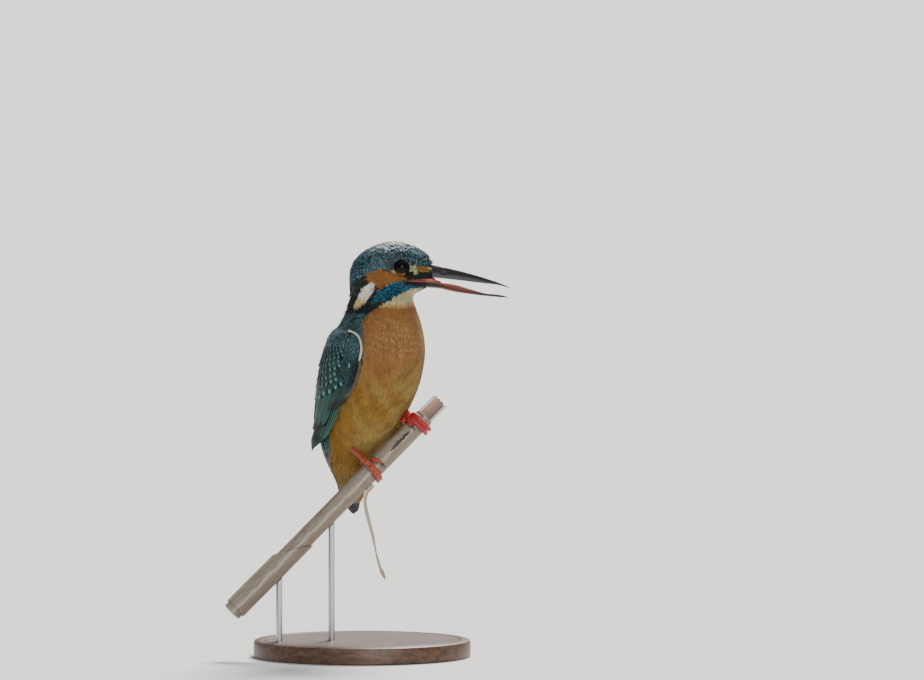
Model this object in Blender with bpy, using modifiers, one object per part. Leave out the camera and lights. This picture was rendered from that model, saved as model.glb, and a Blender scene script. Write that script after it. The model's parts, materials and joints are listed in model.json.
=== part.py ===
"""A common kingfisher at life size, perched on a cut reed that a small display stand holds.

The origin is the centre of the stand's underside. +X runs the way the bill points, +Z is up, and
-Y is the side from which the bird shows its right wing. Sizes in the tables are millimetres.
"""

import math

import bmesh
import bpy
from mathutils import Matrix, Vector

MM = 0.001
GAP = 0.3  # clearance between neighbouring solids

# --- Driving dimensions, in millimetres and degrees -------------------------------------------

BODY_YAW = -40.0  # the breast faces this far round from +X, while the head faces +X
NECK_TILT = 11.0  # the cuts that part head, neck and trunk slope down towards the breast
HEAD_CUT = (8.7, 0.0, 167.5)
NECK_CUT = (8.5, 2.0, 153.5)

# Trunk sections from the tail coverts up into the head:
# height, centre x, centre y, half depth (breast to back), half width (side to side).
TRUNK = (
    (69.5, -3.4, 13.4, 2.2, 4.6),
    (74.0, -4.2, 13.8, 3.8, 6.6),
    (80.0, -5.0, 14.3, 6.2, 8.8),
    (87.0, -5.6, 14.4, 9.6, 11.1),
    (96.0, -4.6, 13.6, 14.7, 14.7),
    (106.0, -1.3, 11.8, 19.1, 18.4),
    (118.0, 2.1, 9.0, 22.4, 20.8),
    (130.0, 5.0, 6.5, 24.2, 22.0),
    (141.0, 7.3, 4.2, 24.0, 21.4),
    (151.0, 8.4, 2.4, 21.0, 19.0),
    (160.0, 9.0, 1.2, 17.0, 15.4),
    (166.0, 8.8, 0.5, 14.8, 13.6),
    (174.0, 8.5, 0.0, 11.0, 10.6),
)

# Head sections from nape to bill: x, crown height, throat height, half width.
HEAD = (
    (-5.9, 177.5, 169.0, 3.4),
    (-4.6, 181.6, 165.4, 6.4),
    (-2.0, 185.0, 163.2, 8.6),
    (1.5, 187.7, 162.2, 10.1),
    (6.0, 189.8, 162.2, 11.1),
    (10.6, 191.2, 162.8, 11.5),
    (15.2, 191.7, 163.8, 11.0),
    (19.8, 191.0, 165.4, 10.1),
    (24.4, 189.4, 167.2, 8.8),
    (29.0, 187.0, 168.8, 7.2),
    (32.6, 184.2, 169.4, 5.8),
    (35.6, 181.0, 169.6, 4.8),
)

EYE_RADIUS = 4.0
EYE_CENTRE = (18.0, 7.5, 179.4)

# Bill halves: x, top, underside, half width.
BILL_START = 31.4
BILL_UPPER = (
    (BILL_START, 181.4, 175.0, 4.5),
    (36.0, 180.3, 174.6, 4.0),
    (45.0, 178.2, 173.6, 3.0),
    (54.3, 175.5, 172.4, 2.1),
    (62.0, 172.9, 171.5, 1.2),
    (66.6, 170.9, 170.3, 0.5),
    (68.2, 169.9, 169.7, 0.15),
)
BILL_LOWER = (
    (BILL_START, 173.3, 169.8, 4.4),
    (36.0, 172.7, 169.5, 3.9),
    (42.8, 171.4, 168.1, 3.1),
    (49.7, 169.5, 167.1, 2.4),
    (56.6, 167.7, 166.3, 1.7),
    (63.5, 166.7, 165.7, 0.9),
    (67.4, 165.8, 165.5, 0.2),
)
BILL_PINCH = 0.25  # how much narrower the ridge and the keel are than the bill's edges

# The wing as it lies on the trunk: height, angle of its lower edge and of its inner edge, measured
# from the breast round to the back, and how far it stands off the trunk.
WING = (
    (93.6, 148.0, 171.0, 4.4),
    (97.0, 108.0, 171.0, 3.7),
    (101.5, 96.0, 171.0, 2.2),
    (108.0, 89.0, 171.0, 1.1),
    (114.0, 83.0, 171.0, 0.5),
    (119.0, 78.0, 171.0, 0.4),
    (125.0, 72.0, 171.0, 0.4),
    (136.0, 69.5, 169.0, 0.4),
    (144.0, 72.0, 165.0, 0.4),
    (149.0, 79.0, 154.0, 0.4),
    (151.5, 92.0, 138.0, 0.4),
)
QUILL_THICK, QUILL_LIFT = 0.65, 1.0  # each row of feathers rides over the one below it
PRIMARY_TOP, PRIMARY_TIP, PRIMARY_ROUND = 109.6, 93.6, (0.62, 5.0)
SECONDARY_TOP, SECONDARY_TIP, SECONDARY_RIDES = 127.0, 101.0, (115.0, 110.4)
COVERT_TOP, COVERT_FRONT_TIP, COVERT_BACK_TIP, COVERT_RIDES = 151.5, 124.0, 116.0, (137.0, 128.0)
COVERT_THICK, COVERT_EDGE = 2.1, 0.4

TAIL_BASE, TAIL_TIP = (-11.0, 18.9, 90.0), (-4.2, 15.4, 64.4)
TAIL_HALF_WIDTH, TAIL_THICK, TAIL_CROWN = 6.3, 1.2, 0.8

# The reed lies along this line, and its bore is open at the broken upper end.
REED_POINT, REED_SLOPE = (10.0, 0.0, 91.4), (1.0, 0.25, 1.0)
REED_RADIUS, REED_BORE = 4.4, 3.2
REED_LOW, REED_HIGH, REED_BORE_FROM, REED_OPEN_FROM = -100.0, 38.4, 16.0, 27.2
REED_OPEN_DEPTH = -1.6  # the wall nearer than this to the viewer's side is broken away
SHEATH_LOW, SHEATH_HIGH, SHEATH_WALL, SHEATH_SLANT = -97.5, -59.5, 0.55, 58.0
STRIP_PATH = (
    (5.2, -3.7, 79.2),
    (2.4, -3.9, 76.2),
    (1.4, -3.8, 72.0),
    (2.6, -3.4, 65.0),
    (4.9, -2.8, 56.0),
    (6.6, -2.0, 47.5),
    (8.2, -1.6, 41.5),
    (10.6, -1.2, 36.0),
)
STRIP_HALF_WIDTH, STRIP_HALF_THICK = 0.9, 0.3

# Feet, in the reed's own frame: place along the reed, angle round it from its upper left side
# towards the viewer's side, and distance from its axis.
ANKLE_RADIUS, TARSUS_RADIUS, TOE_RADIUS, TOE_TIP_RADIUS = 1.45, 1.05, 1.0, 0.75
TOE_TRACK = REED_RADIUS + GAP + TOE_RADIUS
CLAW_RADIUS, CLAW_TIP_RADIUS, CLAW_ANGLE = 0.55, 0.15, 26.0
FEET = {
    "right": {
        "ankle": (-7.4, 33.0, 7.0),
        "heel": (-4.6, -1.2, 95.8),
        "thigh": (-4.6, 4.6, 99.2),
        "toes": {
            "outer": ((-8.7, 56.0), (-9.9, 178.0)),
            "middle": ((-6.4, 56.0), (-7.5, 192.0)),
            "inner": ((-4.6, 42.0), (-2.9, 96.0)),
            "hind": ((-7.9, 8.0), (-9.2, -78.0)),
        },
    },
    "left": {
        "ankle": (22.4, 2.0, 7.2),
        "heel": (16.6, 5.4, 106.6),
        "thigh": (11.6, 9.4, 106.4),
        "toes": {
            "outer": ((23.8, 26.0), (25.2, 172.0)),
            "middle": ((21.5, 26.0), (22.8, 184.0)),
            "inner": ((19.3, 20.0), (18.2, 72.0)),
            "hind": ((22.6, -24.0), (23.6, -104.0)),
        },
    },
}
THIGH_RADII = (6.6, 6.4, 7.4)

BASE_RADIUS, BASE_THICK, BASE_EDGE = 50.0, 8.0, 1.4
ROD_RADIUS, ROD_SOCKET = 1.5, 5.0
ROD_X = {"stand_rod_front": -14.0, "stand_rod_rear": -38.0}

# --- Helpers ----------------------------------------------------------------------------------


def millimetres(values):
    return Vector(values) * MM


def between(rows, at):
    """The row of a table at a value of its first column, on a smooth curve through its rows."""
    last = len(rows) - 1
    start = next((i for i in range(last) if at <= rows[i + 1][0]), last - 1)
    p0, p1, p2, p3 = (rows[min(max(start + k, 0), last)] for k in (-1, 0, 1, 2))
    t = (at - p1[0]) / (p2[0] - p1[0])
    t = min(max(t, 0.0), 1.0)
    return tuple(
        0.5
        * (2 * b + (c - a) * t + (2 * a - 5 * b + 4 * c - d) * t * t + (3 * b - a - 3 * c + d) * t**3)
        for a, b, c, d in zip(p0, p1, p2, p3)
    )


def collection(name):
    made = bpy.data.collections.new(name)
    bpy.context.scene.collection.children.link(made)
    return made


def finish(name, colour, roughness, metallic=0.0):
    """A material of one colour."""
    made = bpy.data.materials.new(name)
    made.use_nodes = True
    shader = made.node_tree.nodes["Principled BSDF"]
    shader.inputs["Base Color"].default_value = (*colour, 1.0)
    shader.inputs["Roughness"].default_value = roughness
    shader.inputs["Metallic"].default_value = metallic
    return made


def place(name, bm, material, group=None):
    """The bmesh as a named object, shaded smooth."""
    bmesh.ops.recalc_face_normals(bm, faces=bm.faces)
    mesh = bpy.data.meshes.new(name)
    bm.to_mesh(mesh)
    bm.free()
    mesh.shade_smooth()
    mesh.set_sharp_from_angle(angle=math.radians(50))
    made = bpy.data.objects.new(name, mesh)
    (group or BIRD).objects.link(made)
    if material:
        mesh.materials.append(material)
    return made


def cutter(name, bm):
    made = place(name, bm, None, CUTTERS)
    made.hide_render = True
    made.display_type = "WIRE"
    return made


def boolean(target, operation, tool):
    step = target.modifiers.new(operation.title() + " " + tool.name, "BOOLEAN")
    step.operation = operation
    step.object = tool
    step.solver = "EXACT"


def baked(made):
    """The object's mesh with its modifiers applied."""
    bpy.context.view_layer.update()
    graph = bpy.context.evaluated_depsgraph_get()
    return bpy.data.meshes.new_from_object(made.evaluated_get(graph))


def add_loft(bm, rings, segments, section=None):
    """Sweeps a circle through rings, each a matrix that carries the unit circle to its place."""
    made = bmesh.ops.create_circle(bm, cap_ends=True, segments=segments, radius=1.0)
    verts = made["verts"]
    if section:
        for vert in verts:
            vert.co.xy = section(*vert.co.xy)
    edges = list({edge for vert in verts for edge in vert.link_edges})
    bmesh.ops.transform(bm, matrix=rings[0], verts=verts)
    for before, after in zip(rings, rings[1:]):
        grown = bmesh.ops.extrude_edge_only(bm, edges=edges)["geom"]
        verts = [part for part in grown if isinstance(part, bmesh.types.BMVert)]
        edges = [
            part
            for part in grown
            if isinstance(part, bmesh.types.BMEdge) and part.is_boundary
        ]
        bmesh.ops.transform(bm, matrix=after @ before.inverted(), verts=verts)
    bmesh.ops.contextual_create(bm, geom=edges)


def add_ellipsoid(bm, centre, radii, rows=12):
    matrix = Matrix.Translation(millimetres(centre)) @ Matrix.Diagonal((*millimetres(radii), 1.0))
    bmesh.ops.create_uvsphere(bm, u_segments=2 * rows, v_segments=rows, radius=1.0, matrix=matrix)


def add_cylinder(bm, radius, low, high, matrix, segments=24):
    """A round bar of that radius from low to high along the matrix's own z axis."""
    middle = Matrix.Translation(Vector((0.0, 0.0, (low + high) / 2 * MM)))
    bmesh.ops.create_cone(
        bm,
        cap_ends=True,
        segments=segments,
        radius1=radius * MM,
        radius2=radius * MM,
        depth=(high - low) * MM,
        matrix=matrix @ middle,
    )


def add_box(bm, low, high, matrix):
    low, high = millimetres(low), millimetres(high)
    size = Matrix.Diagonal((*(high - low), 1.0))
    bmesh.ops.create_cube(bm, size=1.0, matrix=matrix @ Matrix.Translation((low + high) / 2) @ size)


def frame_of(origin, x_axis, y_axis, z_axis):
    """A matrix from three axes, whose lengths it keeps, and a place in metres."""
    return Matrix((
        (x_axis[0], y_axis[0], z_axis[0], origin[0]),
        (x_axis[1], y_axis[1], z_axis[1], origin[1]),
        (x_axis[2], y_axis[2], z_axis[2], origin[2]),
        (0.0, 0.0, 0.0, 1.0),
    ))


def along(points, radii, side):
    """Rings for a tapered rod through the points, its first radius measured along side."""
    rings = []
    for i, point in enumerate(points):
        run = (points[min(i + 1, len(points) - 1)] - points[max(i - 1, 0)]).normalized()
        across = (side - run * side.dot(run)).normalized()
        wide, thick = radii[i]
        rings.append(frame_of(point, across * wide * MM, run.cross(across) * thick * MM, run))
    return rings


# --- The trunk's own directions and surface ----------------------------------------------------

YAW = math.radians(BODY_YAW)
FORWARD = Vector((math.cos(YAW), math.sin(YAW), 0.0))
LEFT = Vector((-math.sin(YAW), math.cos(YAW), 0.0))
UP = Vector((0.0, 0.0, 1.0))


def on_trunk(height, angle, lift):
    """A point over the trunk: angle runs from the breast to the bird's left, in degrees."""
    _, x, y, depth, width = between(TRUNK, height)
    turn = math.radians(angle)
    out = FORWARD * (depth + lift) * math.cos(turn) + LEFT * (width + lift) * math.sin(turn)
    return (Vector((x, y, height)) + out) * MM


def trunk_rings(count=30):
    low, high = TRUNK[0][0], TRUNK[-1][0]
    rings = []
    for i in range(count + 1):
        height = low + (high - low) * i / count
        _, x, y, depth, width = between(TRUNK, height)
        centre = millimetres((x, y, height))
        rings.append(frame_of(centre, FORWARD * depth * MM, LEFT * width * MM, UP))
    return rings


def head_rings(count=26):
    low, high = HEAD[0][0], HEAD[-1][0]
    rings = []
    for i in range(count + 1):
        x = low + (high - low) * i / count
        _, top, bottom, width = between(HEAD, x)
        centre = millimetres((x, 0.0, (top + bottom) / 2))
        tall = Vector((0.0, 0.0, (top - bottom) / 2 * MM))
        rings.append(frame_of(centre, Vector((0.0, width * MM, 0.0)), tall, Vector((1.0, 0.0, 0.0))))
    return rings


# --- Flesh: one blended form, parted by thin cuts ----------------------------------------------


def body_form():
    """Head, trunk and thighs melted into one skin, then thinned to a few thousand faces."""
    bm = bmesh.new()
    add_loft(bm, trunk_rings(), 32)
    add_loft(bm, head_rings(), 28)
    for foot in FEET.values():
        add_ellipsoid(bm, foot["thigh"], THIGH_RADII)
    form = cutter("body_form", bm)
    melt = form.modifiers.new("Melt", "REMESH")
    melt.mode = "VOXEL"
    melt.voxel_size = 0.9 * MM
    soften = form.modifiers.new("Soften", "SMOOTH")
    soften.factor = 0.5
    soften.iterations = 9
    thin = form.modifiers.new("Thin", "DECIMATE")
    thin.ratio = 0.034
    return form


def region(name, low, high, reach=60.0):
    """A slab of space between two heights, in the neck cuts' tilted frame."""
    bm = bmesh.new()
    tilt = Matrix.Translation(millimetres(HEAD_CUT)) @ Matrix.Rotation(math.radians(NECK_TILT), 4, "Y")
    add_box(bm, (-reach, -reach, low), (reach, reach, high), tilt)
    return cutter(name, bm)


def flesh():
    """Head, neck, trunk and thighs."""
    form = body_form()
    whole = baked(form)
    bpy.data.objects.remove(form)
    depth = (Vector(NECK_CUT) - Vector(HEAD_CUT)).z * math.cos(math.radians(NECK_TILT))
    above = region("head_region", GAP / 2, 60.0)
    middle = region("neck_region", depth + GAP / 2, -GAP / 2)
    below = region("trunk_region", -140.0, depth - GAP / 2)
    made = {}
    for name, space, colour in (("head", above, BLUE), ("neck", middle, RUST), ("trunk", below, RUST)):
        piece = bpy.data.objects.new(name, whole.copy())
        BIRD.objects.link(piece)
        piece.data.materials.clear()
        piece.data.materials.append(colour)
        piece.data.shade_smooth()
        boolean(piece, "INTERSECT", space)
        made[name] = piece
    for side, foot in FEET.items():
        thigh = bpy.data.objects.new("thigh_" + side, whole.copy())
        BIRD.objects.link(thigh)
        thigh.data.materials.clear()
        thigh.data.materials.append(RUST)
        thigh.data.shade_smooth()
        for grow, target, operation in (
            (0.0, thigh, "INTERSECT"),
            (GAP, made["trunk"], "DIFFERENCE"),
        ):
            bm = bmesh.new()
            add_ellipsoid(bm, foot["thigh"], [radius + grow for radius in THIGH_RADII], rows=10)
            boolean(target, operation, cutter(f"thigh_space_{side}_{operation.lower()}", bm))
        made["thigh_" + side] = thigh
    return made


def eyes(head):
    for side, sign in (("right", -1.0), ("left", 1.0)):
        centre = (EYE_CENTRE[0], sign * EYE_CENTRE[1], EYE_CENTRE[2])
        bm = bmesh.new()
        add_ellipsoid(bm, centre, (EYE_RADIUS,) * 3, rows=8)
        place("eye_" + side, bm, EYE)
        bm = bmesh.new()
        add_ellipsoid(bm, centre, (EYE_RADIUS + GAP,) * 3, rows=8)
        boolean(head, "DIFFERENCE", cutter("eye_socket_" + side, bm))


# --- Bill -------------------------------------------------------------------------------------


def bill_rings(rows, count, grow=0.0):
    low, high = rows[0][0], rows[-1][0]
    rings = []
    for i in range(count + 1):
        x = low + (high - low) * i / count
        _, top, bottom, width = between(rows, x)
        centre = millimetres((x, 0.0, (top + bottom) / 2))
        side = Vector((0.0, (max(width, 0.12) + grow) * MM, 0.0))
        tall = Vector((0.0, 0.0, (max(top - bottom, 0.2) / 2 + grow) * MM))
        rings.append(frame_of(centre, side, tall, Vector((1.0, 0.0, 0.0))))
    return rings


def roof_section(x, y):
    """A dome with a narrow ridge over a flat underside, as on the upper half of the bill."""
    return x * (1.0 - BILL_PINCH * max(y, 0.0)), 2.0 * max(y, 0.0) - 1.0


def keel_section(x, y):
    """A keel under a flat top, as on the lower half of the bill."""
    return x * (1.0 + BILL_PINCH * min(y, 0.0)), 1.0 + 2.0 * min(y, 0.0)


def bill(head):
    bm = bmesh.new()
    add_loft(bm, bill_rings(BILL_UPPER, 9), 12, roof_section)
    place("bill_upper", bm, HORN)
    bm = bmesh.new()
    add_loft(bm, bill_rings(BILL_LOWER, 9), 12, keel_section)
    place("bill_lower", bm, RED_HORN)
    socket_low = BILL_START - GAP
    bm = bmesh.new()
    rings = []
    for x in (socket_low, socket_low + 8.0):
        side = Vector((0.0, (BILL_UPPER[0][3] + GAP) * MM, 0.0))
        top, bottom = BILL_UPPER[0][1] + GAP, BILL_LOWER[0][2] - GAP
        centre = millimetres((x, 0.0, (top + bottom) / 2))
        tall = Vector((0.0, 0.0, (top - bottom) / 2 * MM))
        rings.append(frame_of(centre, side, tall, Vector((1.0, 0.0, 0.0))))
    add_loft(bm, rings, 24, lambda x, y: (math.copysign(abs(x) ** 0.6, x), math.copysign(abs(y) ** 0.6, y)))
    boolean(head, "DIFFERENCE", cutter("bill_socket", bm))


# --- Wings and tail ---------------------------------------------------------------------------


def wing_plate(name, sign, rows, columns, height_at, lift_at, thick, edge, material):
    """A curved plate over the trunk. Grid x runs from the lower edge to the inner one, y down."""
    bm = bmesh.new()
    bmesh.ops.create_grid(bm, x_segments=columns, y_segments=rows, size=0.5)
    for vert in bm.verts:
        across, down = vert.co.x + 0.5, 0.5 - vert.co.y
        height = height_at(across, down)
        _, lower, inner, stand_off = between(WING, height)
        angle = lower + (inner - lower) * across
        vert.co = on_trunk(height, sign * angle, stand_off + lift_at(height))
    layer = bm.verts.layers.deform.verify()
    for vert in bm.verts:
        vert[layer][0] = edge if vert.is_boundary else 1.0
    plate = place(name, bm, material)
    plate.vertex_groups.new(name="middle")
    shell = plate.modifiers.new("Shell", "SOLIDIFY")
    shell.thickness = thick * MM
    shell.offset = 1.0
    shell.vertex_group = "middle"
    centre = sum((vert.co for vert in plate.data.vertices), Vector()) / len(plate.data.vertices)
    middle = plate.data.polygons[len(plate.data.polygons) // 2]
    outward = centre - Vector((between(TRUNK, 120.0)[1] * MM, between(TRUNK, 120.0)[2] * MM, centre.z))
    if middle.normal.dot(outward) < 0:
        shell.offset = -1.0
    return plate


def wing(side, sign):
    def primary_height(across, down):
        longest, rise = PRIMARY_ROUND
        tip = PRIMARY_TIP + rise * ((across - longest) / longest) ** 2
        return PRIMARY_TOP + (tip - PRIMARY_TOP) * down

    def covert_height(across, down):
        tip = COVERT_FRONT_TIP + (COVERT_BACK_TIP - COVERT_FRONT_TIP) * across
        return COVERT_TOP + (tip - COVERT_TOP) * down

    def riding(high, low):
        def lift(height):
            share = min(max((high - height) / (high - low), 0.0), 1.0)
            return QUILL_LIFT * share * share * (3 - 2 * share)

        return lift

    wing_plate(
        f"wing_{side}_primaries", sign, 7, 4,
        primary_height, lambda height: 0.0, QUILL_THICK, 0.8, QUILL,
    )
    wing_plate(
        f"wing_{side}_secondaries", sign, 8, 5,
        lambda across, down: SECONDARY_TOP + (SECONDARY_TIP - SECONDARY_TOP) * down * (0.8 + 0.2 * across),
        riding(*SECONDARY_RIDES), QUILL_THICK, 0.8, TEAL,
    )
    wing_plate(
        f"wing_{side}_coverts", sign, 9, 7,
        covert_height, riding(*COVERT_RIDES), COVERT_THICK, COVERT_EDGE, TEAL,
    )


def tail_bm(grow):
    """The closed tail as a curved plate with a rounded end, grown by so many millimetres."""
    base, tip = Vector(TAIL_BASE), Vector(TAIL_TIP)
    run = (tip - base).normalized()
    normal = run.cross(LEFT).normalized()
    bm = bmesh.new()
    count = 9
    rings = []
    for i in range(count + 1):
        share = i / count
        width = TAIL_HALF_WIDTH * (0.62 + 0.38 * math.sin(min(share / 0.7, 1.0) * math.pi / 2))
        if share > 0.8:
            width *= math.sqrt(max(1.0 - ((share - 0.8) / 0.215) ** 2, 0.0))
        centre = base.lerp(tip, share) + run * (grow if i == count else 0.0)
        side = LEFT * (width + grow) * MM
        rings.append(frame_of(centre * MM, side, normal * (TAIL_THICK / 2 + grow) * MM, run))
    add_loft(bm, rings, 16, lambda x, y: (x, y - TAIL_CROWN * x * x))
    return bm


def tail(trunk):
    place("tail", tail_bm(0.0), SLATE)
    boolean(trunk, "DIFFERENCE", cutter("tail_slot", tail_bm(GAP)))


# --- Reed, feet and stand ---------------------------------------------------------------------

REED_AXIS = Vector(REED_SLOPE).normalized()
REED_UPPER = Vector((-1.0, 0.0, 1.0)).normalized()
REED_VIEWER = REED_AXIS.cross(REED_UPPER).normalized()


def on_reed(place_along, angle, radius):
    """A point by the reed, in metres: angle runs from its upper left to the viewer's side."""
    turn = math.radians(angle)
    out = REED_UPPER * math.cos(turn) + REED_VIEWER * math.sin(turn)
    return (Vector(REED_POINT) + REED_AXIS * place_along + out * radius) * MM


def reed_frame():
    return frame_of(millimetres(REED_POINT), REED_UPPER, REED_VIEWER, REED_AXIS)


def reed():
    bm = bmesh.new()
    add_cylinder(bm, REED_RADIUS, REED_LOW, REED_HIGH, reed_frame(), 22)
    stem = place("perch_stem", bm, STRAW)
    bm = bmesh.new()
    add_cylinder(bm, REED_BORE, REED_BORE_FROM, REED_HIGH + 5.0, reed_frame(), 18)
    boolean(stem, "DIFFERENCE", cutter("reed_bore", bm))
    bm = bmesh.new()
    add_box(bm, (-9.0, REED_OPEN_DEPTH, REED_OPEN_FROM), (9.0, 9.0, REED_HIGH + 6.0), reed_frame())
    boolean(stem, "DIFFERENCE", cutter("reed_opening", bm))

    inner = REED_RADIUS + GAP
    bm = bmesh.new()
    add_cylinder(bm, inner + SHEATH_WALL, SHEATH_LOW, SHEATH_HIGH + 12.0, reed_frame(), 22)
    sheath = place("perch_sheath", bm, STRAW)
    bm = bmesh.new()
    add_cylinder(bm, inner, SHEATH_LOW - 4.0, SHEATH_HIGH + 16.0, reed_frame(), 22)
    boolean(sheath, "DIFFERENCE", cutter("sheath_bore", bm))
    slant = Matrix.Translation(Vector((0.0, 0.0, SHEATH_HIGH * MM)))
    slant = reed_frame() @ slant @ Matrix.Rotation(math.radians(SHEATH_SLANT), 4, "Y")
    bm = bmesh.new()
    add_box(bm, (-30.0, -20.0, 0.0), (30.0, 20.0, 40.0), slant)
    boolean(sheath, "DIFFERENCE", cutter("sheath_end", bm))

    points = [millimetres(point) for point in STRIP_PATH]
    tapers = (1.0, 1.0, 1.0, 0.95, 0.8, 0.5, 0.75, 0.35)
    radii = [(STRIP_HALF_WIDTH * taper, STRIP_HALF_THICK) for taper in tapers]
    bm = bmesh.new()
    add_loft(bm, along(points, radii, Vector((0.9, 0.4, 0.0))), 8)
    place("perch_strip", bm, STRAW)


def toe_path(start, end, radius, steps):
    """Points along a toe that wraps round the reed from one place and angle to another."""
    return [
        on_reed(start[0] + (end[0] - start[0]) * i / steps, start[1] + (end[1] - start[1]) * i / steps, radius)
        for i in range(steps + 1)
    ]


def foot(side, sizes, pieces):
    """Tarsus with its ankle knob, let into the thigh, then each toe and its claw."""
    ankle = on_reed(*sizes["ankle"])
    heel = millimetres(sizes["heel"])
    stops = (0.0, 0.35, 0.7, 1.0)
    radii = (TARSUS_RADIUS * 1.15, TARSUS_RADIUS, TARSUS_RADIUS, ANKLE_RADIUS)
    points = [heel.lerp(ankle, stop) for stop in stops]
    run = (ankle - heel).normalized()
    points.append(ankle + run * ANKLE_RADIUS * 0.8 * MM)
    radii = [*radii, ANKLE_RADIUS * 0.6]
    bm = bmesh.new()
    add_loft(bm, along(points, [(radius, radius) for radius in radii], Vector((0.0, 1.0, 0.0))), 10)
    place("tarsus_" + side, bm, FOOT)
    points[0] -= run * GAP * MM
    bm = bmesh.new()
    grown = [(radius + GAP, radius + GAP) for radius in radii]
    add_loft(bm, along(points, grown, Vector((0.0, 1.0, 0.0))), 10)
    socket = cutter("tarsus_socket_" + side, bm)
    boolean(pieces["thigh_" + side], "DIFFERENCE", socket)
    boolean(pieces["trunk"], "DIFFERENCE", socket)
    for toe, (start, end) in sizes["toes"].items():
        steps = 4 if abs(end[1] - start[1]) < 70 else 6
        path = toe_path(start, end, TOE_TRACK, steps)
        radii = [TOE_RADIUS + (TOE_TIP_RADIUS - TOE_RADIUS) * i / steps for i in range(steps + 1)]
        radii[0] = TOE_TIP_RADIUS
        bm = bmesh.new()
        add_loft(bm, along(path, [(radius, radius) for radius in radii], REED_AXIS), 8)
        place(f"toe_{side}_{toe}", bm, FOOT)

        onward = math.copysign(1.0, end[1] - start[1])
        gap_angle = math.degrees(GAP / TOE_TRACK)
        bm = bmesh.new()
        path = [
            on_reed(end[0], end[1] + onward * (gap_angle + CLAW_ANGLE * i / 4), TOE_TRACK - 0.12 * i)
            for i in range(5)
        ]
        radii = [CLAW_RADIUS + (CLAW_TIP_RADIUS - CLAW_RADIUS) * i / 4 for i in range(5)]
        add_loft(bm, along(path, [(radius, radius) for radius in radii], REED_AXIS), 6)
        place(f"claw_{side}_{toe}", bm, CLAW)


def stand():
    bm = bmesh.new()
    add_cylinder(bm, BASE_RADIUS, 0.0, BASE_THICK, Matrix.Identity(4), 40)
    top = [
        edge
        for edge in bm.edges
        if all(abs(vert.co.z - BASE_THICK * MM) < 1e-6 for vert in edge.verts)
    ]
    bmesh.ops.bevel(
        bm, geom=top, offset=BASE_EDGE * MM, segments=2, profile=0.5, affect="EDGES", material=-1
    )
    base = place("stand_base", bm, WOOD)
    for name, x in ROD_X.items():
        share = (x - REED_POINT[0]) / REED_SLOPE[0]
        y = REED_POINT[1] + share * REED_SLOPE[1]
        axis_height = REED_POINT[2] + share * REED_SLOPE[2]
        upright = Matrix.Translation(millimetres((x, y, 0.0)))
        bm = bmesh.new()
        add_cylinder(bm, ROD_RADIUS, BASE_THICK - ROD_SOCKET + GAP, axis_height, upright, 14)
        rod = place(name, bm, STEEL)
        bm = bmesh.new()
        add_cylinder(bm, ROD_RADIUS + GAP, BASE_THICK - ROD_SOCKET, BASE_THICK + 4.0, upright, 14)
        boolean(base, "DIFFERENCE", cutter(name + "_socket", bm))
        covered = "rear" in name
        bm = bmesh.new()
        clear = REED_RADIUS + GAP + (SHEATH_WALL + GAP if covered else 0.0)
        add_cylinder(bm, clear, REED_LOW - 5.0, REED_HIGH, reed_frame(), 22)
        boolean(rod, "DIFFERENCE", cutter(name + "_saddle", bm))


# --- Assembly ---------------------------------------------------------------------------------

for old in list(bpy.data.objects):
    bpy.data.objects.remove(old)
BIRD = collection("kingfisher")
CUTTERS = collection("cutters")

BLUE = finish("crown blue", (0.03, 0.16, 0.22), 0.5)
RUST = finish("breast rust", (0.50, 0.20, 0.05), 0.7)
TEAL = finish("wing teal", (0.03, 0.19, 0.20), 0.5)
QUILL = finish("quill brown", (0.05, 0.07, 0.07), 0.5)
SLATE = finish("tail blue", (0.03, 0.08, 0.16), 0.5)
HORN = finish("bill horn", (0.03, 0.03, 0.035), 0.3)
RED_HORN = finish("bill red", (0.42, 0.07, 0.03), 0.35)
EYE = finish("eye", (0.01, 0.008, 0.006), 0.05)
FOOT = finish("foot red", (0.50, 0.04, 0.02), 0.45)
CLAW = finish("claw", (0.03, 0.02, 0.02), 0.35)
STRAW = finish("dry reed", (0.45, 0.38, 0.27), 0.6)
WOOD = finish("stand wood", (0.16, 0.09, 0.05), 0.45)
STEEL = finish("stand steel", (0.55, 0.55, 0.56), 0.3, 1.0)

PIECES = flesh()
eyes(PIECES["head"])
bill(PIECES["head"])
wing("right", -1.0)
wing("left", 1.0)
tail(PIECES["trunk"])
reed()
for SIDE, SIZES in FEET.items():
    foot(SIDE, SIZES, PIECES)
stand()
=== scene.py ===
import json
import math

import bmesh
import bpy
import numpy as np
from mathutils import Matrix, Vector
from mathutils.bvhtree import BVHTree
from mathutils.kdtree import KDTree

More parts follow.
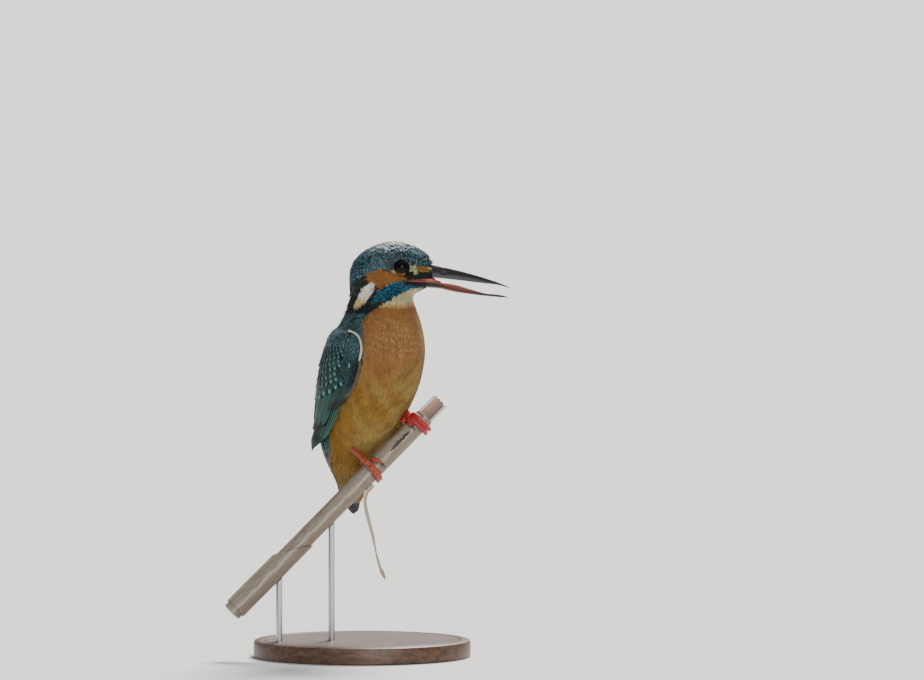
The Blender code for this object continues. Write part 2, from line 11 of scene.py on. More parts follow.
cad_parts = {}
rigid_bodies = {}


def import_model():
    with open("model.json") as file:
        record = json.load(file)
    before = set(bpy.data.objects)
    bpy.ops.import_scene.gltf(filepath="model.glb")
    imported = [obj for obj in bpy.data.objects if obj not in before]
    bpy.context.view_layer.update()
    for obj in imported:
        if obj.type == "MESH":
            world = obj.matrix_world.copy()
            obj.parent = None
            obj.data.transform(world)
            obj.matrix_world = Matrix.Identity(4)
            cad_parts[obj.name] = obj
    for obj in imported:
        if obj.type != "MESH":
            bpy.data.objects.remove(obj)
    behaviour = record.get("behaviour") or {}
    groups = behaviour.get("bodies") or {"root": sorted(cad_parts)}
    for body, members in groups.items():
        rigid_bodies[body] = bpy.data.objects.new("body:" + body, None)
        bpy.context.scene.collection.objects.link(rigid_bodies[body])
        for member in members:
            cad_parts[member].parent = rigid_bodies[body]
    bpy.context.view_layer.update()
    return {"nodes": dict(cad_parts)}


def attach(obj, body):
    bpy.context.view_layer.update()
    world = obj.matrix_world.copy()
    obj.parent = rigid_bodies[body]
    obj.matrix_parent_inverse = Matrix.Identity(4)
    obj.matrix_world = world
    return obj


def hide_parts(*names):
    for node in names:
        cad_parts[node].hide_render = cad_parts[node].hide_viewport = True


for spare in list(bpy.data.objects):
    bpy.data.objects.remove(spare)
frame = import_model()

MM = 0.001

# --- Display base ------------------------------------------------------------------------------
# A turned disc of oiled walnut, 100 mm across, with a small rounded lip and a shallow groove cut
# on the lathe. The grain runs across it from side to side.

BASE_RADIUS, BASE_HEIGHT, BASE_ROUND, BASE_STEPS = 50.0, 8.0, 1.4, 128
BASE_GROOVE_AT, BASE_GROOVE, BASE_GROOVE_HALF = 45.2, 0.35, 0.5


class Value:
    """A number in a material's nodes. Arithmetic with it adds the nodes for the sum."""

    def __init__(self, finish, socket):
        self.finish = finish
        self.socket = socket

    def sum(self, operation, *terms):
        return self.finish.node("ShaderNodeMath", {"operation": operation}, dict(enumerate(terms)))

    def __add__(self, other):
        return self.sum("ADD", self, other)

    def __radd__(self, other):
        return self.sum("ADD", other, self)

    def __sub__(self, other):
        return self.sum("SUBTRACT", self, other)

    def __rsub__(self, other):
        return self.sum("SUBTRACT", other, self)

    def __mul__(self, other):
        return self.sum("MULTIPLY", self, other)

    def __pow__(self, other):
        return self.sum("POWER", self, other)

    def size(self):
        return self.sum("ABSOLUTE", self)

    def wave(self):
        return self.sum("SINE", self)

    def ease(self, low, high):
        """0 below low, 1 above high, and a soft step between them."""
        settings = {"interpolation_type": "SMOOTHSTEP"}
        inputs = {"Value": self, "From Min": low, "From Max": high}
        return self.finish.node("ShaderNodeMapRange", settings, inputs)


class Finish:
    """A material of one shader, put together from named nodes."""

    def __init__(self, name, roughness=0.5, **constants):
        self.material = bpy.data.materials.new(name)
        self.material.use_nodes = True
        self.tree = self.material.node_tree
        self.shader = self.tree.nodes["Principled BSDF"]
        self.shader.inputs["Roughness"].default_value = roughness
        for key, constant in constants.items():
            self.shader.inputs[key.replace("_", " ").title().replace("Ior", "IOR")].default_value = constant

    def feed(self, socket, term):
        if isinstance(term, Value):
            self.tree.links.new(term.socket, socket)
        elif isinstance(term, tuple) and socket.type == "RGBA":
            socket.default_value = (*term, 1.0)
        else:
            socket.default_value = term

    def node(self, kind, settings=None, inputs=None, output=0):
        """Any other node: its settings first, then its sockets, and one of its outputs."""
        made = self.tree.nodes.new(kind)
        for key, setting in (settings or {}).items():
            setattr(made, key, setting)
        for key, term in (inputs or {}).items():
            self.feed(made.inputs[key], term)
        return Value(self, made.outputs[output])

    def place(self, stretch=(1.0, 1.0, 1.0)):
        """Object coordinates, each axis multiplied so that a pattern draws out along it."""
        here = self.node("ShaderNodeTexCoord", output="Object")
        return self.node("ShaderNodeMapping", inputs={"Vector": here, "Scale": stretch})

    def parts(self, vector=None):
        """The three numbers of a vector or a named attribute, or else of the object's own place."""
        if vector is None:
            vector = self.node("ShaderNodeTexCoord", output="Object")
        if isinstance(vector, str):
            vector = self.node("ShaderNodeAttribute", {"attribute_name": vector}, output="Vector")
        return [self.node("ShaderNodeSeparateXYZ", inputs={0: vector}, output=i) for i in range(3)]

    def colour(self, name):
        """The colour kept on a mesh under that name."""
        return self.node("ShaderNodeAttribute", {"attribute_name": name}, output="Color")

    def noise(self, vector, scale, detail=3.0, roughness=0.55):
        inputs = {"Vector": vector, "Scale": scale, "Detail": detail, "Roughness": roughness}
        return self.node("ShaderNodeTexNoise", inputs=inputs)

    def mix(self, factor, first, second, blend="MIX"):
        """Two colours mixed by a factor."""
        settings = {"data_type": "RGBA", "blend_type": blend}
        return self.node("ShaderNodeMix", settings, {0: factor, 6: first, 7: second}, output=2)

    def shaded(self, colour, shade):
        """The colour made lighter or darker by a number."""
        grey = self.node("ShaderNodeCombineColor", inputs={0: shade, 1: shade, 2: shade})
        return self.mix(1.0, colour, grey, "MULTIPLY")

    def finish(self, colour, roughness, height=None, depth=0.0001):
        """Feeds the shader its colour, roughness and relief, the relief's depth in metres."""
        self.feed(self.shader.inputs["Base Color"], colour)
        self.feed(self.shader.inputs["Roughness"], roughness)
        if height is not None:
            inputs = {"Height": height, "Distance": depth, "Strength": 1.0}
            self.feed(self.shader.inputs["Normal"], self.node("ShaderNodeBump", inputs=inputs))
        return self.material


def mesh_of(bm, name):
    """The bmesh as a mesh of that name. The bmesh is freed."""
    mesh = bpy.data.meshes.new(name)
    bm.to_mesh(mesh)
    bm.free()
    return mesh


def turned(profile, steps, join, closed=False):
    """A form turned on a lathe from (radius, height) points, those nearer than join merged."""
    bm = bmesh.new()
    line = [bm.verts.new((radius * MM, 0.0, height * MM)) for radius, height in profile]
    edges = [bm.edges.new(pair) for pair in zip(line, line[1:] + line[: int(closed)])]
    bmesh.ops.spin(
        bm, geom=line + edges, cent=(0, 0, 0), axis=(0, 0, 1), angle=math.tau, steps=steps, use_merge=True
    )
    bmesh.ops.remove_doubles(bm, verts=bm.verts, dist=join * MM)
    return bm


def show(name, source, material, instead_of=(), sharp=None):
    """Puts a finished mesh or bmesh into the scene as one piece of the model."""
    if isinstance(source, bmesh.types.BMesh):
        bmesh.ops.recalc_face_normals(source, faces=source.faces)
        mesh = mesh_of(source, name)
    else:
        mesh = source
        mesh.name = name
    mesh.shade_smooth()
    if sharp:
        mesh.set_sharp_from_angle(angle=math.radians(sharp))
    mesh.materials.clear()
    mesh.materials.append(material)
    piece = bpy.data.objects.new(name, mesh)
    bpy.context.scene.collection.objects.link(piece)
    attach(piece, "root")
    if instead_of:
        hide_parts(*instead_of)


profile = [
    (0.0, 0.0),
    (BASE_RADIUS - 0.5, 0.0),
    (BASE_RADIUS, 0.5),
    (BASE_RADIUS, BASE_HEIGHT - BASE_ROUND),
    (BASE_RADIUS - BASE_ROUND * 0.3, BASE_HEIGHT - BASE_ROUND * 0.3),
    (BASE_RADIUS - BASE_ROUND, BASE_HEIGHT),
    (BASE_GROOVE_AT + BASE_GROOVE_HALF, BASE_HEIGHT),
    (BASE_GROOVE_AT, BASE_HEIGHT - BASE_GROOVE),
    (BASE_GROOVE_AT - BASE_GROOVE_HALF, BASE_HEIGHT),
    (0.0, BASE_HEIGHT),
]
walnut = Finish("oiled walnut", 0.42, coat_weight=0.15, coat_roughness=0.25)
figure = walnut.noise(walnut.place((7.0, 60.0, 60.0)), 9.0, 4.0, 0.6)
pores = walnut.noise(walnut.place((30.0, 700.0, 700.0)), 3.0, 2.0).ease(0.52, 0.7)
brown = walnut.mix(figure.ease(0.3, 0.7), (0.050, 0.022, 0.010), (0.145, 0.070, 0.032))
brown = walnut.mix(pores * 0.6, brown, (0.020, 0.010, 0.006))
oiled = walnut.finish(brown, 0.34 + figure * 0.2, 1.0 - pores, 0.00006)
show("base_disc", turned(profile, BASE_STEPS, 0.01), oiled, ["stand_base"], sharp=35)

# --- Display rods ------------------------------------------------------------------------------
# Two brushed steel rods, 3 mm thick, glued into the base. Their tops are cut to the reed's curve
# and carry it from below.

steel = Finish("brushed steel", 0.3, metallic=1.0)
brushing = steel.noise(steel.place((900.0, 900.0, 12.0)), 2.0, 2.0)
steel.finish(
    steel.mix(brushing, (0.42, 0.42, 0.43), (0.62, 0.62, 0.63)), 0.24 + brushing * 0.2, brushing, 0.00001
)
for name in ("stand_rod_front", "stand_rod_rear"):
    node = frame["nodes"][name]
    node.data.materials.clear()
    node.data.materials.append(steel.material)

# --- Reed perch --------------------------------------------------------------------------------
# A dead reed stem, 9 mm thick and hollow, split along its front and broken open at its upper end.
# An old leaf sheath still wraps the lower end, and a dry strip of it hangs below the bird.

REED_POINT = Vector((10.0, 0.0, 91.4))
REED_AXIS = Vector((1.0, 0.25, 1.0)).normalized()
REED_UPPER = Vector((-1.0, 0.0, 1.0)).normalized()
REED_VIEWER = REED_AXIS.cross(REED_UPPER).normalized()
REED_TOP = 38.4
SPLIT_FROM, SPLIT_TO, SPLIT_ANGLE, SPLIT_HALF, SPLIT_DEPTH = 3.4, 18.2, 82.0, 14.0, 1.6
RIB_HEIGHT, SWELL_HEIGHT, WORN_DEPTH = 0.07, 0.12, 0.06
STEM_VOXEL, SHEATH_VOXEL = 0.32, 0.24


def copy_of(*names):
    """The solids of those names in one bmesh, their loose triangles joined."""
    bm = bmesh.new()
    for name in names:
        bm.from_mesh(frame["nodes"][name].data)
    bmesh.ops.remove_doubles(bm, verts=bm.verts, dist=0.000005)
    bmesh.ops.recalc_face_normals(bm, faces=bm.faces)
    return bm


def smooth(values, low, high):
    """0 below low, 1 above high, and a soft step between them, for numbers or arrays."""
    share = np.clip((values - low) / (high - low), 0.0, 1.0)
    return share * share * (3.0 - 2.0 * share)


def soft_noise(points, size, seed):
    """A smooth random number from -1 to 1 at each point, in blobs of about that size."""
    rng = np.random.default_rng(seed)
    waves = rng.normal(size=(9, points.shape[1])) * (math.tau / size / 2.2)
    phases = rng.uniform(0.0, math.tau, 9)
    return np.sin(points @ waves.T + phases).sum(axis=1) / 3.6


def melted(bm, voxel, name):
    """The bmesh turned into one even skin of small squares, as a new bmesh."""
    lump = bpy.data.objects.new(name, mesh_of(bm, name))
    bpy.context.scene.collection.objects.link(lump)
    remesh = lump.modifiers.new("Melt", "REMESH")
    remesh.mode = "VOXEL"
    remesh.voxel_size = voxel * MM
    graph = bpy.context.evaluated_depsgraph_get()
    done = bmesh.new()
    done.from_mesh(bpy.data.meshes.new_from_object(lump.evaluated_get(graph)))
    bpy.data.objects.remove(lump)
    return done


def vert_arrays(bm):
    """The points, in millimetres, and the normals of a bmesh."""
    bm.normal_update()
    points = np.array([vert.co for vert in bm.verts]) / MM
    normals = np.array([vert.normal for vert in bm.verts])
    return points, normals


def set_points(bm, points):
    for vert, point in zip(bm.verts, points * MM):
        vert.co = point


def reed_lie(points):
    """Places on the reed: along it, angle round it in degrees, and distance from its axis."""
    away = points - np.array(REED_POINT)
    along = away @ np.array(REED_AXIS)
    up = away @ np.array(REED_UPPER)
    near = away @ np.array(REED_VIEWER)
    return along, np.degrees(np.arctan2(near, up)), np.hypot(up, near)


def add_layer(mesh, name, values, kind="FLOAT_VECTOR"):
    """Keeps one vector or colour for each vertex on the mesh."""
    layer = mesh.attributes.new(name, kind, "POINT")
    key = "vector" if kind == "FLOAT_VECTOR" else "color"
    if kind == "FLOAT_COLOR" and values.shape[1] == 3:
        values = np.hstack([values, np.ones((len(values), 1))])
    layer.data.foreach_set(key, np.ascontiguousarray(values, dtype=np.float32).ravel())


def reed_piece(name, node, voxel, seed):
    """One part of the reed with its ribs, split and torn edges, from the solid of that name."""
    bm = melted(copy_of(node), voxel, name)
    points, normals = vert_arrays(bm)
    along, angle, radius = reed_lie(points)
    circle = np.stack([np.cos(np.radians(angle)), np.sin(np.radians(angle))], axis=1)
    outside = (normals * (points - np.array(REED_POINT) - np.outer(along, REED_AXIS))).sum(axis=1)
    radial = outside / np.maximum(radius, 0.5)
    outside = smooth(radial, 0.3, 0.8)
    stem = node == "perch_stem"
    ribs = soft_noise(np.column_stack([circle * 9.0, along * 0.02]), 1.6, seed) * RIB_HEIGHT
    swell = soft_noise(np.column_stack([circle * 2.0, along * 0.08]), 3.0, seed + 1) * SWELL_HEIGHT
    taper = smooth(along, SPLIT_FROM, SPLIT_FROM + 6.0) * (1.0 - smooth(along, SPLIT_TO - 5.0, SPLIT_TO))
    ragged = 1.0 + 0.35 * soft_noise(np.column_stack([circle * 3.0, along * 1.0]), 1.6, seed + 3)
    wander = SPLIT_ANGLE + 2.5 * np.sin(along * 0.4)
    beyond = np.abs(angle - wander) / (SPLIT_HALF * np.maximum(taper * ragged, 0.02))
    split = (1.0 - smooth(beyond, 0.75, 1.15)) * (taper > 0.05) * stem
    points += normals * (outside * (ribs + swell - split * SPLIT_DEPTH - WORN_DEPTH))[:, None]
    torn = soft_noise(np.column_stack([circle * 4.0, along * 0.0]), 1.8, seed + 2)
    end = smooth(along, REED_TOP - 4.0, REED_TOP) * stem
    points -= np.outer(end * (0.5 + 0.5 * torn), REED_AXIS)
    set_points(bm, points)
    mesh = mesh_of(bm, name)
    add_layer(mesh, "lie", np.column_stack([along * 0.1, angle / 60.0, split]))
    add_layer(mesh, "ring", np.column_stack([circle, 1.0 - outside]))
    add_layer(mesh, "torn", np.column_stack([1.0 - np.abs(radial), angle / 60.0, along * 0.1]))
    return mesh


reed = Finish("dry reed", 0.55)
along, angle, hollow = reed.parts("lie")
ring_x, ring_y, inner = reed.parts("ring")
joined = reed.node("ShaderNodeCombineXYZ", inputs={0: ring_x * 3.0, 1: ring_y * 3.0, 2: along * 0.35})
fibres = reed.noise(joined, 6.0, 5.0, 0.65)
fine = reed.noise(joined, 26.0, 3.0, 0.6)
blotch = reed.noise(reed.place(), 110.0, 3.0)
straw = reed.mix(fibres.ease(0.30, 0.70), (0.180, 0.145, 0.100), (0.345, 0.300, 0.235))
straw = reed.mix(blotch.ease(0.50, 0.75) * 0.35, straw, (0.170, 0.125, 0.080))
bend = blotch * 0.5
# Painted highlight: a pale line along the reed, a little below its side towards the viewer.
ridge = (1.0 - (angle + bend - 1.75).size().ease(0.03, 0.20)) * 0.6
straw = reed.mix(ridge, straw, (0.480, 0.450, 0.380))
# Painted shade: a darker band along the reed's lower side, broken up by its fibres.
underside_shade = (angle + bend).ease(1.88, 2.10) * (1.0 - (angle + bend).ease(2.45, 2.75))
underside_shade *= fibres.ease(0.2, 0.6)
straw = reed.mix(underside_shade * 0.55, straw, (0.190, 0.125, 0.085))
straw = reed.mix(fine.ease(0.60, 0.80) * 0.35, straw, (0.120, 0.090, 0.058))
torn, _, _ = reed.parts("torn")
opened = along.ease(2.4, 2.75)
warm = 1.0 - (angle + 0.95).size().ease(0.10, 0.42)
lining = reed.mix(warm * 0.85, (0.300, 0.225, 0.190), (0.600, 0.300, 0.160))
lining = reed.mix(fibres.ease(0.4, 0.7) * 0.35, lining, (0.240, 0.165, 0.130))
straw = reed.mix(inner.ease(0.5, 0.95) * opened, straw, lining)
# The torn rims and inner edges of the opened end are painted pale: partly the pale broken fibre, partly a
# painted highlight along the rims.
lip = 1.0 - (1.0 - torn.ease(0.62, 0.85)) * (1.0 - (angle.size() - 1.5).size().ease(0.90, 1.00) * inner)
straw = reed.mix(lip * opened, straw, (0.620, 0.575, 0.500))
# Painted shade: the groove of the split is painted nearly black inside.
straw = reed.mix(hollow.ease(0.2, 0.9) * 0.9, straw, (0.050, 0.038, 0.032))
reed.finish(straw, 0.5 + fibres * 0.25, fibres + fine * 0.6, 0.00025)
stem = reed_piece("reed_stem", "perch_stem", STEM_VOXEL, 11)
show("reed_stem", stem, reed.material, ["perch_stem"])
sheath = reed_piece("reed_sheath", "perch_sheath", SHEATH_VOXEL, 21)
show("reed_sheath", sheath, reed.material, ["perch_sheath"])

leaf = Finish("dry leaf strip", 0.6)
streak = leaf.noise(leaf.place((900.0, 900.0, 60.0)), 1.2, 3.0)
leaf.finish(leaf.mix(streak, (0.22, 0.16, 0.10), (0.55, 0.47, 0.36)), 0.6, streak, 0.0001)
bm = copy_of("perch_strip")
bmesh.ops.subdivide_edges(bm, edges=bm.edges, cuts=1, use_grid_fill=True, smooth=0.6)
points, normals = vert_arrays(bm)
points += normals * (soft_noise(points, 2.5, 31) * 0.07)[:, None]
set_points(bm, points)
show("leaf_strip", bm, leaf.material, ["perch_strip"])

# --- Skin --------------------------------------------------------------------------------------
# The bird's skin, one surface from the bill to the tail coverts, with the folded arms of the
# wings under it. The coat stands on it, so it lies inside the bird's outline by the coat's depth.

EYE_CENTRE, EYE_RADIUS = (18.0, 7.5, 179.4), 4.0
SKIN_VOXEL, SKIN_SWELL, TAIL_CUT = 0.72, 0.3, 74
BODY_YAW = -40.0
SPINE_Z = (69.5, 87.0, 106.0, 130.0, 151.0, 166.0, 180.0)
SPINE_X = (-3.4, -5.6, -1.3, 5.0, 8.4, 8.8, 8.0)
SPINE_Y = (13.4, 14.4, 11.8, 6.5, 2.4, 0.5, 0.0)


def toward(point, points):
    return np.linalg.norm(points - np.array(point), axis=1)


def eye_distance(points):
    """How far each point is from the nearer eye's centre."""
    mirrored = points * np.array((1.0, -1.0, 1.0))
    return np.minimum(toward(EYE_CENTRE, points), toward(EYE_CENTRE, mirrored))


def body_angle(points):
    """Angle round the body from the breast, in degrees, on a spine that turns into the neck."""
    height = points[:, 2]
    yaw = np.radians(BODY_YAW * (1.0 - smooth(height, 150.0, 171.0)))
    x = points[:, 0] - np.interp(height, SPINE_Z, SPINE_X)
    y = points[:, 1] - np.interp(height, SPINE_Z, SPINE_Y)
    ahead = x * np.cos(yaw) + y * np.sin(yaw)
    aside = -x * np.sin(yaw) + y * np.cos(yaw)
    return np.degrees(np.arctan2(aside, ahead))


def coat_depth(points):
    """How deep the coat is at each point, in millimetres."""
    height = points[:, 2]
    depth = 0.8 + 0.7 * (1.0 - smooth(height, 150.0, 172.0))
    depth += 0.3 * (1.0 - smooth(np.abs(height - 112.0), 10.0, 30.0))
    depth -= 0.5 * (1.0 - smooth(height, 70.0, 82.0))
    depth *= 0.25 + 0.75 * smooth(toward((34.0, 0.0, 175.0), points), 5.0, 14.0)
    return depth * smooth(eye_distance(points), 4.2, 7.0)


def relax(bm, turns):
    """Smooths a bmesh that many times over."""
    for _ in range(turns):
        bmesh.ops.smooth_vert(
            bm, verts=bm.verts, factor=0.5, use_axis_x=True, use_axis_y=True, use_axis_z=True
        )


# Only the tail's root belongs to the skin.
bm = copy_of("tail")
everything = bm.verts[:] + bm.edges[:] + bm.faces[:]
bmesh.ops.bisect_plane(
    bm, geom=everything, plane_co=(0, 0, TAIL_CUT * MM), plane_no=(0, 0, 1), clear_inner=True
)
bmesh.ops.holes_fill(bm, edges=bm.edges, sides=0)
plug = mesh_of(bm, "tail_plug")
COVERTS = ("wing_right_coverts", "wing_left_coverts")
FLESH = ("head", "neck", "trunk", "thigh_left", "thigh_right")
bm = copy_of(*FLESH, *COVERTS)
bm.from_mesh(plug)
points, normals = vert_arrays(bm)
set_points(bm, points + normals * SKIN_SWELL)
bm = melted(bm, SKIN_VOXEL, "skin")
relax(bm, 10)
points, normals = vert_arrays(bm)
# The face ends a little inside the bill's sides, so that its feathers run level onto the horn.
low_face = 1.0 - smooth(points[:, 2], 172.0, 174.0)
tuck = 1.3 * smooth(points[:, 0], 26.0, 33.0) * low_face
tuck += 0.8 * smooth(points[:, 0], 29.0, 34.0) * (1.0 - low_face)
set_points(bm, points - normals * (coat_depth(points) + SKIN_SWELL + tuck)[:, None])
relax(bm, 4)
skin_points, _ = vert_arrays(bm)
bm.verts.ensure_lookup_table()
skin_tree = BVHTree.FromBMesh(bm)
skin_mesh = mesh_of(bm, "skin")
bpy.context.view_layer.update()
skin_object = bpy.data.objects.new("skin", skin_mesh)
bpy.context.scene.collection.objects.link(skin_object)
bpy.context.view_layer.objects.active = skin_object
skin_object.select_set(True)
bpy.ops.object.mode_set(mode="EDIT")
bpy.ops.mesh.select_all(action="SELECT")
bpy.ops.uv.smart_project(angle_limit=math.radians(66), island_margin=0.004)
bpy.ops.object.mode_set(mode="OBJECT")
skin_mesh.uv_layers.active.name = "OFBake"
loop_place = np.zeros(len(skin_mesh.loops) * 2)
skin_mesh.uv_layers["OFBake"].data.foreach_get("uv", loop_place)


def face_values(key, width, kind=np.float64):
    """That many values for each face of the skin."""
    values = np.zeros(len(skin_mesh.polygons) * width, dtype=kind)
    skin_mesh.polygons.foreach_get(key, values)
    return values.reshape(-1, width)


face_start = face_values("loop_start", 1, np.int64)[:, 0]
face_place = np.add.reduceat(loop_place.reshape(-1, 2), face_start, axis=0)
face_place = face_place / face_values("loop_total", 1, np.int64)
face_middle = face_values("center", 3) / MM
face_normal = face_values("normal", 3)
face_area = face_values("area", 1)[:, 0] / MM**2
bpy.data.objects.remove(skin_object)

# --- Markings ----------------------------------------------------------------------------------
# A kingfisher's feather tracts. Each has its own colours and its own size of feather, smallest on
# the face. The same tracts colour the skin, so nothing pale shows between the feathers.


def band(x, z, stations):
    """Distance outside a stroke through (x, z, half width) stations, negative within it."""
    best = np.full(len(x), 1e9)
    for (x0, z0, r0), (x1, z1, r1) in zip(stations, stations[1:]):
        run = (x1 - x0) ** 2 + (z1 - z0) ** 2
        share = np.clip(((x - x0) * (x1 - x0) + (z - z0) * (z1 - z0)) / run, 0.0, 1.0)
        gap = np.hypot(x - x0 - share * (x1 - x0), z - z0 - share * (z1 - z0))
        best = np.minimum(best, gap - r0 - share * (r1 - r0))
    return best


# Ground colour, tip colour, where the tip begins, its half width, and the feather's length, width
# and spacing in millimetres.
TRACTS = {
    "crown": ((0.005, 0.016, 0.021), (0.033, 0.122, 0.152), 0.68, 0.78, 2.9, 1.75, 1.06),
    "nape": ((0.003, 0.006, 0.005), (0.010, 0.022, 0.019), 0.72, 0.60, 3.2, 1.7, 1.05),
    "ear": ((0.152, 0.060, 0.013), (0.196, 0.082, 0.020), 0.45, 1.20, 2.8, 0.8, 0.56),
    "bridle": ((0.006, 0.006, 0.006), (0.010, 0.010, 0.010), 0.60, 1.20, 1.5, 0.7, 0.46),
    "lore": ((0.090, 0.050, 0.011), (0.190, 0.115, 0.035), 0.60, 0.80, 1.7, 0.6, 0.44),
    "under_eye": ((0.290, 0.170, 0.070), (0.350, 0.225, 0.105), 0.60, 1.20, 1.4, 0.6, 0.42),
    "eye_spot": ((0.260, 0.250, 0.160), (0.320, 0.310, 0.210), 0.60, 1.20, 1.4, 0.6, 0.42),
    "malar": ((0.005, 0.026, 0.044), (0.016, 0.140, 0.225), 0.68, 0.80, 2.4, 1.4, 0.88),
    # The malar stripe's lower part, painted much darker: painted shade where it turns under the head.
    "malar_shaded": ((0.001, 0.005, 0.006), (0.004, 0.015, 0.017), 0.68, 0.80, 2.6, 1.4, 0.90),
    "chin": ((0.008, 0.007, 0.007), (0.016, 0.014, 0.013), 0.60, 1.20, 1.5, 0.7, 0.46),
    "throat": ((0.400, 0.350, 0.180), (0.450, 0.400, 0.225), 0.55, 1.20, 2.8, 0.8, 0.56),
    "neck_patch": ((0.520, 0.515, 0.450), (0.600, 0.595, 0.525), 0.55, 1.20, 3.0, 0.95, 0.52),
    "neck_buff": ((0.430, 0.310, 0.130), (0.500, 0.370, 0.172), 0.55, 1.20, 3.0, 0.95, 0.54),
    "breast": ((0.200, 0.087, 0.023), (0.232, 0.106, 0.031), 0.72, 1.20, 4.2, 0.92, 0.52),
    "belly": ((0.176, 0.088, 0.013), (0.208, 0.108, 0.018), 0.72, 1.20, 5.2, 1.10, 0.60),
    "vent": ((0.236, 0.142, 0.045), (0.292, 0.184, 0.068), 0.60, 1.20, 5.6, 1.20, 0.70),
    "mantle": ((0.028, 0.058, 0.060), (0.048, 0.096, 0.098), 0.62, 1.20, 3.6, 1.8, 1.02),
    "back": ((0.008, 0.100, 0.280), (0.016, 0.290, 0.580), 0.40, 1.20, 5.4, 2.4, 1.40),
    "coverts": ((0.014, 0.042, 0.042), (0.022, 0.066, 0.070), 0.74, 0.40, 2.8, 1.6, 0.95),
}
NAMES = list(TRACTS)

# Body at each height: centre x, centre y, half depth and half width, and the folded wing over it:
# its front and inner edges as angles from the breast, and how far it stands off the body.
WING_STATIONS = np.array((
    (93.6, -4.9, 13.8, 13.5, 13.6, 148.0, 171.0, 4.4),
    (97.0, -4.4, 13.5, 15.1, 15.1, 108.0, 171.0, 3.7),
    (101.5, -3.0, 12.8, 17.3, 16.9, 96.0, 171.0, 2.2),
    (108.0, -0.7, 11.4, 19.7, 18.8, 89.0, 171.0, 1.1),
    (114.0, 0.9, 10.0, 21.5, 20.2, 83.0, 171.0, 0.5),
    (119.0, 2.4, 8.8, 22.7, 21.0, 78.0, 171.0, 0.4),
    (125.0, 3.9, 7.5, 23.7, 21.7, 72.0, 171.0, 0.4),
    (136.0, 6.2, 5.3, 24.1, 21.7, 69.5, 169.0, 0.4),
    (144.0, 7.6, 3.6, 23.0, 20.6, 72.0, 165.0, 0.4),
    (149.0, 8.2, 2.6, 21.5, 19.5, 79.0, 154.0, 0.4),
    (151.5, 8.5, 2.3, 20.9, 18.9, 92.0, 138.0, 0.4),
))
# Where the tips of the greater coverts lie, as (across the wing, height).
GREATER_TIPS = np.array((
    (0.10, 134.0),
    (0.10, 128.5),
    (0.13, 125.2),
    (0.20, 122.8),
    (0.28, 121.0),
    (0.40, 118.8),
    (0.60, 117.3),
    (1.0, 116.0),
))
# In front of the rows the wing's edge keeps its small scattered coverts, up to (across, height).
ROWS_BEGIN = np.array((
    (0.05, 120.0),
    (0.08, 127.0),
    (0.17, 131.0),
    (0.20, 142.0),
    (0.24, 147.0),
))
# The lower edge of the scapulars, which lie over the top of the folded wing.
SCAPULARS = np.array((
    (0.05, 151.2),
    (0.12, 149.8),
    (0.25, 148.5),
    (0.35, 147.7),
    (0.42, 146.6),
    (0.48, 144.0),
    (0.56, 140.5),
    (0.75, 136.0),
))
# The bare corner of the mouth, as (x, z, half height) along its length.
GAPE = (
    (18.8, 173.9, 0.08),
    (21.0, 173.8, 0.42),
    (25.0, 173.8, 0.72),
    (28.5, 173.8, 0.85),
    (31.5, 173.75, 0.80),
    (33.4, 173.35, 0.50),
    (35.2, 173.0, 0.22),
    (36.4, 172.8, 0.08),
)
# Strokes on the side of the head, each as (x, z, half width) along its length.
STROKES = {
    "cheek": (
        (31.5, 170.9, 0.5), (26.0, 170.9, 1.0), (18.9, 170.9, 2.5), (14.4, 169.3, 3.6),
        (11.0, 166.6, 4.0), (9.3, 163.6, 3.5), (7.8, 160.4, 2.8),
    ),
    "ear": (
        (20.5, 174.6, 0.8), (17.4, 175.2, 1.5), (15.0, 175.7, 2.0), (12.6, 175.7, 2.9),
        (11.0, 175.3, 3.4), (7.2, 174.8, 4.2), (3.6, 175.0, 2.5),
    ),
    "behind_ear": ((7.4, 174.4, 3.8), (6.6, 172.3, 1.7)),
    "neck_patch": ((3.8, 171.4, 1.5), (2.4, 168.0, 2.9), (1.6, 164.8, 2.8), (0.8, 162.6, 2.2)),
    "lore": ((32.2, 177.6, 0.9), (29.0, 178.6, 1.6), (25.6, 179.5, 1.4)),
    "bridle": ((35.0, 176.0, 1.7), (26.0, 175.9, 1.6), (21.0, 175.9, 1.1), (18.2, 176.6, 0.2)),
    "bill_root": ((33.4, 179.6, 1.0), (33.4, 177.0, 1.0)),
    "under_eye": ((17.6, 176.0, 0.3), (15.4, 176.9, 0.45), (13.2, 177.9, 0.3)),
    "eye_spot": ((22.9, 179.3, 0.8), (24.6, 177.3, 0.75)),
    "mouth": ((34.0, 171.4, 2.0), (26.0, 171.7, 1.1), (21.0, 172.2, 0.5)),
}
# The crown's lower edge, as places along X and heights, and the mantle's front edge over the
# shoulder, as heights and angles from the breast.
CROWN_EDGE = (-6.0, 2.0, 10.0, 14.0, 18.0, 24.0, 33.0), (172.0, 176.4, 178.6, 178.6, 180.0, 181.0, 179.4)
SHOULDER = (150.0, 155.0, 160.5), (75.0, 86.0, 83.0)
covert_tree = BVHTree.FromBMesh(copy_of(*COVERTS))


def on_curve(samples, share):
    """Points on smooth curves: samples is (feather, station, xyz) and share (feather, any)."""
    last = samples.shape[1] - 1
    at = np.clip(share, 0.0, 1.0) * last
    start = np.minimum(at.astype(int), last - 1)
    t = (at - start)[..., None]
    row = np.arange(len(samples))[:, None]
    p0, p1, p2, p3 = (samples[row, np.clip(start + k, 0, last)] for k in (-1, 0, 1, 2))
    p0 = np.where((start == 0)[..., None], 2 * p1 - p2, p0)
    p3 = np.where((start == last - 1)[..., None], 2 * p2 - p1, p3)
    square = (2 * p0 - 5 * p1 + 4 * p2 - p3) * t**2
    return 0.5 * (2 * p1 + (p2 - p0) * t + square + (3 * p1 - p0 - 3 * p2 + p3) * t**3)


WING_STATIONS = on_curve(WING_STATIONS[None], np.linspace(0.0, 1.0, 90)[None])[0]


